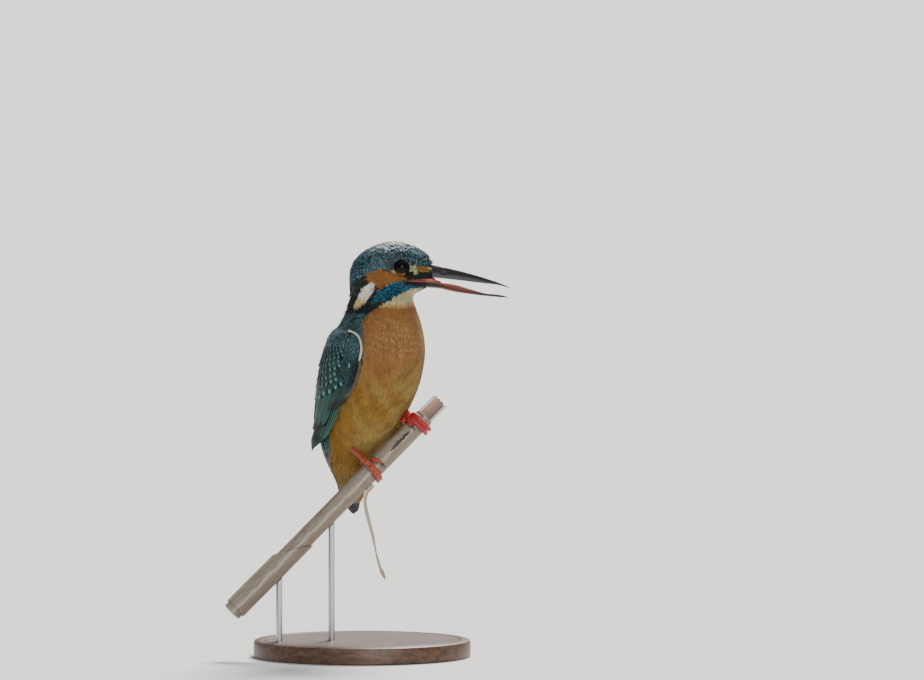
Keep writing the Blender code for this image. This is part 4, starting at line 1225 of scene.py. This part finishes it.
def edge_row(path, breadth, colour, seed):
    """Centre lines, ways out, widths and colours of the small feathers along the wing's edge."""
    chance = np.random.default_rng(seed)
    path = on_curve(np.array(path)[None], np.linspace(0.0, 1.0, 400)[None])[0]
    places, outs = zip(*[on_wing(height, across, 1.72, -1.0) for across, height in path])
    places, outs = np.array(places), np.array(outs)
    run = np.concatenate([[0.0], np.cumsum(np.linalg.norm(np.diff(places, axis=0), axis=1))])
    starts = np.arange(0.0, run[-1] - 2.2, 0.42)
    lines = []
    for start in starts:
        at = start + np.linspace(0.0, 1.0, 5) * chance.uniform(1.9, 2.4)
        line = np.stack([np.interp(at, run, places[:, axis]) for axis in range(3)], axis=1)
        out = np.stack([np.interp(at, run, outs[:, axis]) for axis in range(3)], axis=1)
        lines.append(line + out * np.linspace(-0.25, 0.12, 5)[:, None] + chance.normal(0.0, 0.05, 3))
    ways = np.stack([np.interp(starts, run, outs[:, axis]) for axis in range(3)], axis=1)
    ways = unit(ways + 0.5 * AHEAD)[:, None].repeat(5, axis=1)
    colours = np.array(colour) * chance.uniform(0.75, 1.1, (len(starts), 1, 1))
    return np.array(lines), ways, np.full(len(starts), breadth), colours


rows = [edge_row(*PALE_EDGE, 67), edge_row(*DULL_EDGE, 68)]
*strands, colours = (np.concatenate([row[part] for row in rows]) for part in range(4))
layers = {"ground": colours[:, 0], "tip": colours[:, 1], "mark": np.tile((0.5, 1.2, 0.0), (len(colours), 1))}
feathers("wing_right_edge", soft_feather, strands, (4, 7), EDGE_SHAPE, 69, layers)
for wing, sign in SIDES:
    *strands, colours, marks = covert_rows(sign)
    layers = {"ground": colours[:, 0], "tip": colours[:, 1], "mark": marks}
    feathers(f"wing_{wing}_covert_rows", gloss_feather, strands, (6, 7), ROW_SHAPE, 63, layers)

# --- Tail --------------------------------------------------------------------------------------
# Twelve short square-ended tail feathers, closed into a narrow stack. They are deep blue on the
# back and slate grey beneath.

TAIL_BASE, TAIL_TIP = np.array((-11.0, 18.9, 90.0)), np.array((-3.6, 15.0, 64.7))
TAIL_FEATHERS, TAIL_HALF_WIDTH, TAIL_FEATHER_WIDTH = 12, 6.1, 5.6
TAIL_SHAPE = ((0.5, 0.8, 0.95, 1.0, 1.0, 0.95, 0.75), 0.12, 0.02, 0.05, 0.09, 0.0)
UNDER_COVERTS, UNDER_WIDTH, UNDER_SHAPE = 34, 2.6, (SOFT_SHAPE[0], 0.3, 0.3, 0.10, 0.05, 0.1)

run = (TAIL_TIP - TAIL_BASE) / np.linalg.norm(TAIL_TIP - TAIL_BASE)
outward = np.cross(run, LEFTWARD)
outward *= -np.sign(outward @ AHEAD) / np.linalg.norm(outward)
lines, ways = [], []
for number in range(TAIL_FEATHERS):
    slot = (number // 2 + 0.5) / (TAIL_FEATHERS / 2)
    aside = slot * (1.0 if number % 2 else -1.0)
    end = TAIL_TIP - run * 2.2 * slot**2
    line = []
    for share in np.linspace(0.0, 1.0, 6):
        place = TAIL_BASE + (end - TAIL_BASE) * share
        spread = (TAIL_HALF_WIDTH - TAIL_FEATHER_WIDTH / 2) * (0.55 + 0.45 * share) * aside
        line.append(place + LEFTWARD * spread + outward * (0.5 - 0.95 * slot - 0.012 * spread**2))
    lines.append(line)
    ways.append([outward] * 6)
rear_blue = Finish("tail feather", 0.42)
across, along, chance = rear_blue.parts("vane")
shaft = 1.0 - across.size().ease(0.03, 0.12)
barbs = (along * 150.0 - across.size() * 30.0).wave() * 0.5 + 0.5
x, y, z = rear_blue.parts(rear_blue.node("ShaderNodeNewGeometry", output="Normal"))
back_side = (x * float(outward[0]) + y * float(outward[1]) + z * float(outward[2])).ease(-0.1, 0.1)
colour = rear_blue.mix(along.ease(0.3, 0.95), (0.012, 0.110, 0.260), (0.010, 0.055, 0.120))
slate = rear_blue.mix(along.ease(0.80, 0.98), (0.075, 0.058, 0.042), (0.052, 0.050, 0.056))
colour = rear_blue.mix(back_side, slate, colour)
colour = rear_blue.mix(shaft * 0.8, colour, (0.010, 0.009, 0.010))
rear_blue.finish(colour, 0.42, barbs * 0.4 + shaft * 2.0, 0.00005)
strands = lines, ways, np.full(TAIL_FEATHERS, TAIL_FEATHER_WIDTH)
feathers("tail_feathers", rear_blue, strands, (16, 9), TAIL_SHAPE, 62, {}, ["tail"])

# The soft under tail coverts, which lie along the front of the tail almost to its tip.
rng = np.random.default_rng(65)
lines, ways = [], []
for number in range(UNDER_COVERTS):
    aside = rng.uniform(-1.0, 1.0)
    start = rng.uniform(0.30, 0.55)
    end = min(start + 0.45, 0.94 - 0.12 * abs(aside)) - rng.uniform(0.0, 0.06)
    line = []
    for share in np.linspace(0.0, 1.0, 5):
        place = TAIL_BASE + (TAIL_TIP - TAIL_BASE) * (start + (end - start) * share)
        stand_off = 1.5 + 1.2 * (1.0 - share) - 1.3 * aside**2 + 0.2 * rng.uniform()
        line.append(place + LEFTWARD * (aside * 4.6) - outward * stand_off)
    lines.append(line)
    ways.append([unit(LEFTWARD * aside * 0.8 - outward)] * 5)
strands = lines, ways, np.full(UNDER_COVERTS, UNDER_WIDTH)
layers = one_tract("vent", (0.8, 1.1), rng, UNDER_COVERTS)
feathers("tail_under_coverts", soft_feather, strands, (5, 7), UNDER_SHAPE, 66, layers)

# --- Eyes --------------------------------------------------------------------------------------
# Round, wet and almost black, with a dark brown iris. Dark lids close each one in to an oval that
# slopes down towards the bill. The lower lid's outer half has the cheek's colour.

EYE_LOOKS = Vector((0.10, 1.0, 0.06)).normalized()
# The pupil's middle along X and Z, and how far the edges of pupil and iris ease, in metres.
PUPIL_X, PUPIL_Z, PUPIL_EDGE, IRIS_EDGE = 0.0183, 0.1796, (0.0015, 0.0018), (0.0023, 0.0027)
# The lid's cross section, as (distance from the eye's axis, place along that axis).
LID_SECTION = (
    (2.66, 2.92), (2.70, 3.08), (2.82, 3.10), (3.00, 2.88),
    (3.22, 2.54), (3.44, 2.14), (3.70, 1.55), (3.10, 1.50),
)
LID_TURNS = 56
# The distances from the eye's axis over which the lid takes the cheek's colour, and over which its
# outer wall spreads out under the coat, so that no gap is left round the ball.
LID_CHEEK, LID_WALL = (2.80, 2.96), (3.40, 3.70)
# The opening is an oval, sloping down towards the bill: its slope, and its height above and below
# the middle as shares of its half width.
OPENING_SLOPE, OPENING_UP, OPENING_DOWN = 14.0, 0.88, 0.83

wet = Finish("wet eye", 0.05, specular_ior_level=0.14)
x, _, z = wet.parts()
off_axis = ((x - PUPIL_X) * (x - PUPIL_X) + (z - PUPIL_Z) * (z - PUPIL_Z)) ** 0.5
iris = wet.mix(off_axis.ease(*PUPIL_EDGE), (0.0008, 0.0008, 0.0008), (0.0040, 0.0022, 0.0014))
wet.finish(wet.mix(off_axis.ease(*IRIS_EDGE), iris, (0.0015, 0.0015, 0.0015)), 0.04)
lid = Finish("eyelid skin", 0.75, specular_ior_level=0.07)
grains = lid.noise(lid.place(), 2600.0, 2.0)
cheek_share, _, _ = lid.parts("cheek")
cheek = lid.mix(grains.ease(0.35, 0.65), (0.098, 0.042, 0.011), (0.165, 0.082, 0.029))
bare = lid.mix(grains, (0.003, 0.003, 0.003), (0.008, 0.007, 0.006))
lid.finish(lid.mix(cheek_share.ease(0.35, 0.65), bare, cheek), 0.75, grains, 0.00012)
for eye_side, sign in SIDES:
    centre = Vector((EYE_CENTRE[0], sign * EYE_CENTRE[1], EYE_CENTRE[2]))
    bm = bmesh.new()
    bmesh.ops.create_uvsphere(
        bm, u_segments=48, v_segments=24, radius=EYE_RADIUS * MM, matrix=Matrix.Translation(centre * MM)
    )
    show(f"eyeball_{eye_side}", bm, wet.material, [f"eye_{eye_side}"])
    looks = Vector((EYE_LOOKS.x, sign * EYE_LOOKS.y, EYE_LOOKS.z))
    level = Vector((0.0, 0.0, 1.0)).cross(looks).normalized()
    level.rotate(Matrix.Rotation(math.radians(-OPENING_SLOPE * sign), 3, looks))
    upright = looks.cross(level)
    bm = turned(LID_SECTION, LID_TURNS, 0.005, closed=True)
    bmesh.ops.subdivide_edges(bm, edges=bm.edges, cuts=1, use_grid_fill=True, smooth=0.7)
    points, _ = vert_arrays(bm)
    folds = 1.0 + 0.018 * soft_noise(points, 1.3, 81)
    off = np.hypot(points[:, 0], points[:, 1])
    # The lower lid has the cheek's colour, but not at its rim and not towards the bill.
    below = smooth(-points[:, 1] / off, 0.05, 0.40) * (1.0 - smooth(-sign * points[:, 0] / off, 0.15, 0.50))
    below *= smooth(off, *LID_CHEEK)
    for vert, (across, high, out), fold, spread in zip(bm.verts, points, folds, smooth(off, *LID_WALL)):
        share = OPENING_UP if high > 0.0 else OPENING_DOWN
        flat = high * (share + (1.0 - share) * spread)
        # The lid stays as high over the ball as it was before it was flattened.
        beside = EYE_RADIUS**2 - across**2
        out += (beside - flat**2) ** 0.5 - (beside - high**2) ** 0.5
        place = centre + level * (across * fold) + upright * (flat * fold) + looks * (out * (2.0 - fold))
        vert.co = place * MM
    mesh = mesh_of(bm, f"eyelid_{eye_side}")
    add_layer(mesh, "cheek", np.column_stack([below, below, below]))
    show(f"eyelid_{eye_side}", mesh, lid.material)

# --- Bill --------------------------------------------------------------------------------------
# A long straight dagger of horn, held a little open. The upper half is glossy black with a ridge
# along its top, and the lower half is red, which marks a female, and dark towards its tip.

# Place along X, top, underside, half width. Both halves begin inside the face.
BILL_UPPER = (
    (27.0, 181.9, 175.2, 4.6),
    (31.4, 181.4, 175.0, 4.5),
    (36.0, 180.3, 174.6, 4.0),
    (45.0, 178.2, 173.6, 3.0),
    (54.3, 175.5, 172.4, 2.1),
    (62.0, 172.9, 171.5, 1.2),
    (66.6, 170.9, 170.3, 0.5),
    (68.2, 169.9, 169.7, 0.15),
)
BILL_LOWER = (
    (27.0, 173.5, 170.2, 4.6),
    (31.4, 173.3, 170.0, 4.4),
    (36.0, 172.7, 169.6, 3.9),
    (42.8, 171.4, 168.1, 3.1),
    (49.7, 169.5, 167.1, 2.4),
    (56.6, 167.7, 166.3, 1.7),
    (63.5, 166.7, 165.7, 0.9),
    (67.4, 165.8, 165.5, 0.2),
)
BILL_RINGS, BILL_SEGMENTS, BILL_PINCH = 72, 36, 0.25
NOSTRIL_X, SEAM_X = 37.2, 44.0


def drawn_out(stations, count, segments, section):
    """A closed form: circles drawn out through the stations, each point placed by section."""
    rows = on_curve(np.array(stations)[None], np.linspace(0.0, 1.0, count)[None])[0]
    bm = bmesh.new()
    verts = bmesh.ops.create_circle(bm, cap_ends=True, segments=segments, radius=1.0)["verts"]
    edges = list({edge for vert in verts for edge in vert.link_edges})
    loops = [verts]
    for _ in rows[1:]:
        grown = bmesh.ops.extrude_edge_only(bm, edges=edges)["geom"]
        loops.append([part for part in grown if isinstance(part, bmesh.types.BMVert)])
        edges = [part for part in grown if isinstance(part, bmesh.types.BMEdge) and part.is_boundary]
    bmesh.ops.contextual_create(bm, geom=edges)
    for loop, row in zip(loops, rows):
        for vert in loop:
            vert.co = Vector(section(row, vert.co.x, vert.co.y)) * MM
    bmesh.ops.recalc_face_normals(bm, faces=bm.faces)
    return bm


def upper_half(row, across, high):
    """A dome with a narrow ridge over a hollowed underside, with a slit of a nostril each side."""
    x, top, low, half = row
    share = 2.0 * max(high, 0.0) - 1.0
    along = x - NOSTRIL_X
    pit = 0.5 * math.exp(-((along / 1.5) ** 2) - ((share + 0.05 - along * 0.07) / 0.11) ** 2)
    side = half * across * (1.0 - BILL_PINCH * max(high, 0.0))
    side -= math.copysign(min(pit, abs(side) * 0.6), across)
    palate = 0.35 * (top - low) * (1.0 - across * across) * (high < -0.01)
    return x, side, (top + low) / 2 + (top - low) / 2 * share + palate


def lower_half(row, across, high):
    """A keel under a hollowed top, with the jaw's seam as a faint groove along each side."""
    x, top, low, half = row
    share = 1.0 + 2.0 * min(high, 0.0)
    side = half * across * (1.0 + BILL_PINCH * min(high, 0.0))
    groove = 0.12 * math.exp(-((share - 0.05) ** 2) / 0.03) * math.exp(-(((x - SEAM_X) / 9.0) ** 2))
    side -= math.copysign(min(groove, abs(side) * 0.5), across)
    trough = 0.35 * (top - low) * (1.0 - across * across) * (high > 0.01)
    return x, side, (top + low) / 2 + (top - low) / 2 * share - trough


def horn_grain(finish):
    """Streaks along the horn, as it grew, and fine flecks."""
    grown = finish.noise(finish.place((60.0, 700.0, 700.0)), 1.6, 4.0)
    return grown, finish.noise(finish.place(), 700.0, 3.0)


horn = Finish("black bill horn", 0.3, specular_ior_level=0.30, coat_weight=0.10, coat_roughness=0.15)
x, _, _ = horn.parts()
grown, flecks = horn_grain(horn)
colour = horn.mix(grown, (0.006, 0.006, 0.009), (0.018, 0.017, 0.022))
colour = horn.mix((1.0 - x.ease(0.034, 0.042)) * grown.ease(0.45, 0.7) * 0.5, colour, (0.075, 0.030, 0.022))
colour = horn.mix(x.ease(0.060, 0.068) * 0.5, colour, (0.060, 0.050, 0.042))
horn.finish(colour, 0.26 + flecks * 0.16, grown + flecks * 0.3, 0.00004)
upper_bill = drawn_out(BILL_UPPER, BILL_RINGS, BILL_SEGMENTS, upper_half)
show("bill_top", upper_bill, horn.material, ["bill_upper"], sharp=48)

red_horn = Finish("red bill horn", 0.3, specular_ior_level=0.35, coat_weight=0.15, coat_roughness=0.15)
x, _, z = red_horn.parts()
grown, flecks = horn_grain(red_horn)
colour = red_horn.mix(grown, (0.085, 0.012, 0.007), (0.190, 0.034, 0.018))
below = 0.1742 - z - (x - 0.0310) * 0.20 + grown * 0.0008
seam = (1.0 - (below - 0.0026).size().ease(0.0001, 0.0007)) * (1.0 - x.ease(0.050, 0.056))
colour = red_horn.mix(seam * 0.75, colour, (0.022, 0.010, 0.008))
base = (1.0 - (x + below * 0.8).ease(0.0370, 0.0400)) * below.ease(0.0016, 0.0022)
colour = red_horn.mix(base, colour, (0.012, 0.009, 0.009))
dark = (x + grown * 0.008 + below * 0.6).ease(0.0530, 0.0610)
colour = red_horn.mix(dark, colour, (0.020, 0.012, 0.010))
red_horn.finish(colour, 0.22 + flecks * 0.16, grown + flecks * 0.3, 0.00004)
lower_bill = drawn_out(BILL_LOWER, BILL_RINGS, BILL_SEGMENTS, lower_half)
show("bill_bottom", lower_bill, red_horn.material, ["bill_lower"], sharp=48)

# --- Gape --------------------------------------------------------------------------------------
# The bare red corners of the mouth, and its lining where the open bill shows it. They run back
# under the eye as a thin fleshy rim.

LIP_OUT, LIP_THICK = 0.42, 0.26  # how far the lips stand off the skin, and their half thickness


def lip_place(row, across, high, sign):
    """A point of the fleshy rim: over the skin, or over the bill where the face ends."""
    x, z, tall = row
    hit, _, _, _ = skin_tree.ray_cast(Vector((x, sign * 40.0, z)) * MM, Vector((0.0, -sign, 0.0)))
    skin = abs(hit.y) / MM if hit else 0.0
    table = np.array(BILL_LOWER)
    side = max(skin, float(np.interp(x, table[:, 0], table[:, 3]))) + LIP_OUT * min(tall / 0.5, 1.0)
    fold = 1.0 - 0.9 * math.exp(-((high / 0.20) ** 2)) * (x < 31.0)
    fold *= 1.0 + 0.25 * math.sin(x * 3.7 + high * 5.0) * math.sin(x * 1.3)
    return x, sign * (side + LIP_THICK * (across * fold if across > 0.0 else 4.0 * across)), z + tall * high


gum = Finish("mouth lining", 0.34, specular_ior_level=0.28, coat_weight=0.10, coat_roughness=0.2)
folds = gum.noise(gum.place((200.0, 700.0, 900.0)), 2.0, 3.0)
x, _, z = gum.parts()
# Painted shade: a dark line along the middle of each gape's rim, where it folds in towards the mouth.
slit = 1.0 - (z - 0.1738).size().ease(0.0001, 0.0005)
colour = gum.mix(folds.ease(0.35, 0.65), (0.130, 0.020, 0.013), (0.260, 0.052, 0.034))
colour = gum.mix(slit * (1.0 - x.ease(0.028, 0.030)) * 0.8, colour, (0.045, 0.008, 0.006))
# Painted highlight: a bright pink patch on the lining at the corner of the open bill.
gape_highlight = x.ease(0.0285, 0.0305) * (1.0 - x.ease(0.0335, 0.0350))
gape_highlight *= (z + folds * 0.0006).ease(0.1731, 0.1741)
gum.finish(gum.mix(gape_highlight * 0.6, colour, (0.440, 0.130, 0.090)), 0.32 + folds * 0.1, folds, 0.0002)
for gape_side, sign in SIDES:
    bm = drawn_out(GAPE, 41, 16, lambda row, across, high, s=sign: lip_place(row, across, high, s))
    show(f"gape_{gape_side}", bm, gum.material)
bm = bmesh.new()
flattened = Matrix.Diagonal((3.8 * MM, 4.3 * MM, 1.2 * MM, 1.0))
floor_place = Matrix.Translation(Vector((30.0, 0.0, 173.9)) * MM) @ flattened
bmesh.ops.create_uvsphere(bm, u_segments=24, v_segments=12, radius=1.0, matrix=floor_place)
show("mouth_floor", bm, gum.material)

# --- Feet --------------------------------------------------------------------------------------
# Small soft red feet with fine scales. The middle and outer toes are joined and lie side by side
# round the reed, and each toe ends in a short curved black claw.

scaly = Finish("scaly foot skin", 0.45, coat_weight=0.1)
around, wrapped, far_foot_shade = scaly.parts("scutes")
scute = (around * math.tau).wave() * 0.5 + 0.5
cells = scaly.node("ShaderNodeTexVoronoi", {"feature": "F1"}, {"Vector": scaly.place(), "Scale": 1700.0})
mottle = scaly.noise(scaly.place(), 500.0, 3.0)
colour = scaly.mix(mottle, (0.235, 0.026, 0.009), (0.380, 0.055, 0.020))
# The far foot is painted a deeper red than the near one, painted shade on the same skin.
colour = scaly.mix(far_foot_shade * 0.9, colour, (0.340, 0.014, 0.014))
colour = scaly.mix((1.0 - scute.ease(0.05, 0.35)) * 0.35, colour, (0.130, 0.018, 0.012))
scaly.finish(colour, 0.36 + mottle * 0.2, scute.ease(0.0, 0.6) + (1.0 - cells) * 0.3, 0.00008)
talon = Finish("black claw", 0.28, coat_weight=0.2)
grown = talon.noise(talon.place(), 900.0, 3.0)
talon.finish(talon.mix(grown, (0.010, 0.008, 0.008), (0.050, 0.036, 0.032)), 0.26, grown, 0.00003)
KNUCKLES = {"right": ((-7.3, 44.0, 6.3), 1.75), "left": ((22.2, 14.0, 6.2), 1.7)}
# From the knuckle towards the claws, each (along the reed, angle round it).
WEBS = {"right": ((-7.4, 54.0), (-8.5, 142.0)), "left": ((22.4, 24.0), (24.0, 140.0))}
FLESHY, WEB_AT = {"right": 0.10, "left": 0.36}, 5.45
# Moves along the reed that close the joined toes up, and a slant of the toes' ends down it.
TOE_SHIFT = {
    "right": {"outer": 0.50, "middle": -0.30, "inner": 0.0, "hind": 0.0},
    "left": {"outer": 0.10, "middle": 0.15, "inner": 1.40, "hind": 0.0},
}
SLANT = {"right": 0.0, "left": -0.9}
# Flesh that fills the root of the far toes, each (along the reed, angle round it, radius, size).
PADS = {
    "right": (),
    "left": (
        (18.8, 4.0, 5.6, 1.3),
        (19.8, 5.0, 5.8, 1.5),
        (20.7, 6.0, 5.9, 1.5),
        (21.4, 24.0, 5.8, 1.4),
        (22.1, 42.0, 5.6, 1.1),
    ),
}
FOOT_VOXEL = 0.15
THIGH_FEATHERS, THIGH_WIDTH, THIGH_SHAPE = 54, 1.1, (SOFT_SHAPE[0], 0.22, 0.4, 0.1, 0.05, 0.05)


def on_reed(along, angle, radius):
    """A place on the reed, the other way round from reed_lie."""
    turn = math.radians(angle)
    out = REED_UPPER * math.cos(turn) + REED_VIEWER * math.sin(turn)
    return np.array(REED_POINT) + REED_AXIS * along + out * radius


def slanted(points, amount):
    """Points moved along the reed, further the further round it each one is."""
    angle = reed_lie(points)[1]
    angle = np.where(angle < -60.0, angle + 360.0, angle)
    return points + np.outer(amount * smooth(angle, 20.0, 140.0), REED_AXIS)


def placed(part, foot_side, toe):
    """The solid of a toe or a claw, moved along the reed and slanted."""
    bm = copy_of(f"{part}_{foot_side}_{toe}")
    bmesh.ops.translate(bm, vec=REED_AXIS * TOE_SHIFT[foot_side][toe] * MM, verts=bm.verts)
    set_points(bm, slanted(vert_arrays(bm)[0], SLANT[foot_side] * (toe != "hind")))
    return bm


for foot_side in ("right", "left"):
    toes = [f"toe_{foot_side}_{toe}" for toe in ("inner", "middle", "outer", "hind")]
    bm = copy_of(f"tarsus_{foot_side}")
    for toe in TOE_SHIFT[foot_side]:
        bm.from_mesh(mesh_of(placed("toe", foot_side, toe), "toe"))
    points, normals = vert_arrays(bm)
    set_points(bm, points + normals * FLESHY[foot_side])
    (along, angle, radius), size = KNUCKLES[foot_side]
    # The knuckle, and the web that joins the middle toe to the outer one.
    lumps = [(on_reed(along, angle, radius), size)]
    (low, low_angle), (high, high_angle) = WEBS[foot_side]
    for share in np.linspace(0.0, 1.0, 12):
        place = on_reed(low + (high - low) * share, low_angle + (high_angle - low_angle) * share, WEB_AT)
        lumps.append((place, 0.85 - 0.25 * share))
    lumps += [(on_reed(*pad[:3]), pad[3]) for pad in PADS[foot_side]]
    for place, lump in lumps:
        place = slanted(np.array(place)[None], SLANT[foot_side])[0]
        centre = Matrix.Translation(Vector(place) * MM)
        bmesh.ops.create_icosphere(bm, subdivisions=2, radius=lump * MM, matrix=centre)
    bm = melted(bm, FOOT_VOXEL, f"foot_{foot_side}")
    relax(bm, 8)
    points, normals = vert_arrays(bm)
    along, angle, radius = reed_lie(points)
    wrapped = 1.0 - smooth(radius, 6.9, 7.8)
    scutes = np.where(wrapped > 0.5, angle / 8.5, points[:, 2] * 1.25)
    swell = 0.09 * np.cos(np.radians(angle) * 5.6) * wrapped
    set_points(bm, points + normals * (swell + 0.022 * np.sin(scutes * math.tau) - 0.05)[:, None])
    mesh = mesh_of(bm, f"foot_{foot_side}")
    add_layer(mesh, "scutes", np.column_stack([scutes, wrapped, np.full(len(scutes), foot_side == "left")]))
    show(f"foot_{foot_side}_skin", mesh, scaly.material, [f"tarsus_{foot_side}", *toes])
    for toe in TOE_SHIFT[foot_side]:
        bm = placed("claw", foot_side, toe)
        bmesh.ops.subdivide_edges(bm, edges=bm.edges, cuts=2, use_grid_fill=True, smooth=1.0)
        show(f"horn_claw_{foot_side}_{toe}", bm, talon.material, [f"claw_{foot_side}_{toe}"])

# Short thigh feathers, out of which the far leg comes.
shank = vert_arrays(copy_of("tarsus_left"))[0]
foot = np.array(on_reed(*KNUCKLES["left"][0]))
reach = np.linalg.norm(shank - foot, axis=1)
top = shank[reach > reach.max() - 0.8].mean(axis=0)
run = unit(foot - top)
side = unit(np.cross(run, (0.0, 0.0, 1.0)))
lift = np.cross(side, run)
rng = np.random.default_rng(71)
turns = np.arange(THIGH_FEATHERS) * 2.4
ways = np.outer(np.cos(turns), side) + np.outer(np.sin(turns), lift)
begins = top + np.outer(rng.uniform(-2.2, 0.6, THIGH_FEATHERS), run)
share = np.linspace(0.0, 1.0, 5)[None, :, None]
lines = begins[:, None] + run * share * 3.2 + ways[:, None] * (1.35 + 0.40 * np.sin(share * 2.6))
strands = lines, ways[:, None].repeat(5, axis=1), np.full(THIGH_FEATHERS, THIGH_WIDTH)
layers = one_tract("belly", (0.8, 1.15), rng, THIGH_FEATHERS)
feathers("thigh_left_feathers", soft_feather, strands, (3, 5), THIGH_SHAPE, 72, layers)

# --- Studio ------------------------------------------------------------------------------------
# A wide, pale, matt floor, a broad soft light from above and to one side, and a weaker, broader
# one from the front.

LENS, AIM, ELEVATION = 400.0, (46.0, 0.0, 146.0), 3.0
FIELD = 425.0  # width of the view at the bird
FLOOR_HALF = 40.0  # in metres

bm = bmesh.new()
bmesh.ops.create_grid(bm, x_segments=8, y_segments=8, size=FLOOR_HALF)
mesh = mesh_of(bm, "studio_floor")
paper = Finish("pale paper", 0.9)
tooth = paper.noise(paper.place(), 60.0, 3.0)
pale = paper.mix(tooth, (0.72, 0.71, 0.695), (0.75, 0.74, 0.725))
mesh.materials.append(paper.finish(pale, 0.9, tooth, 0.0001))
floor = bpy.data.objects.new("studio_floor", mesh)
bpy.context.scene.collection.objects.link(floor)

world = bpy.data.worlds.new("studio air")
world.use_nodes = True
world.node_tree.nodes["Background"].inputs["Color"].default_value = (0.80, 0.84, 0.90, 1.0)
world.node_tree.nodes["Background"].inputs["Strength"].default_value = 0.38
bpy.context.scene.world = world


def lamp(name, toward_it, width, strength, colour):
    """A broad even light from far off, width degrees across."""
    light = bpy.data.lights.new(name, "SUN")
    light.angle = math.radians(width)
    light.energy = strength
    light.color = colour
    made = bpy.data.objects.new(name, light)
    made.rotation_euler = (-Vector(toward_it)).to_track_quat("-Z", "Y").to_euler()
    bpy.context.scene.collection.objects.link(made)


lamp("overhead", (0.30, 0.75, 1.01), 22.0, 6.8, (1.0, 0.98, 0.96))
lamp("front_fill", (0.5, -1.7, 0.73), 38.0, 1.5, (1.0, 0.97, 0.94))

camera = bpy.data.cameras.new("camera")
camera.lens = LENS
camera.sensor_width = 36.0
camera.clip_end = 50.0
lift = math.radians(ELEVATION)
reach = FIELD * LENS / 36.0
away = Vector((0.0, -math.cos(lift), math.sin(lift))) * reach
eye = bpy.data.objects.new("camera", camera)
eye.location = (Vector(AIM) + away) * MM
eye.rotation_euler = (-away).to_track_quat("-Z", "Y").to_euler()
bpy.context.scene.collection.objects.link(eye)
bpy.context.scene.camera = eye
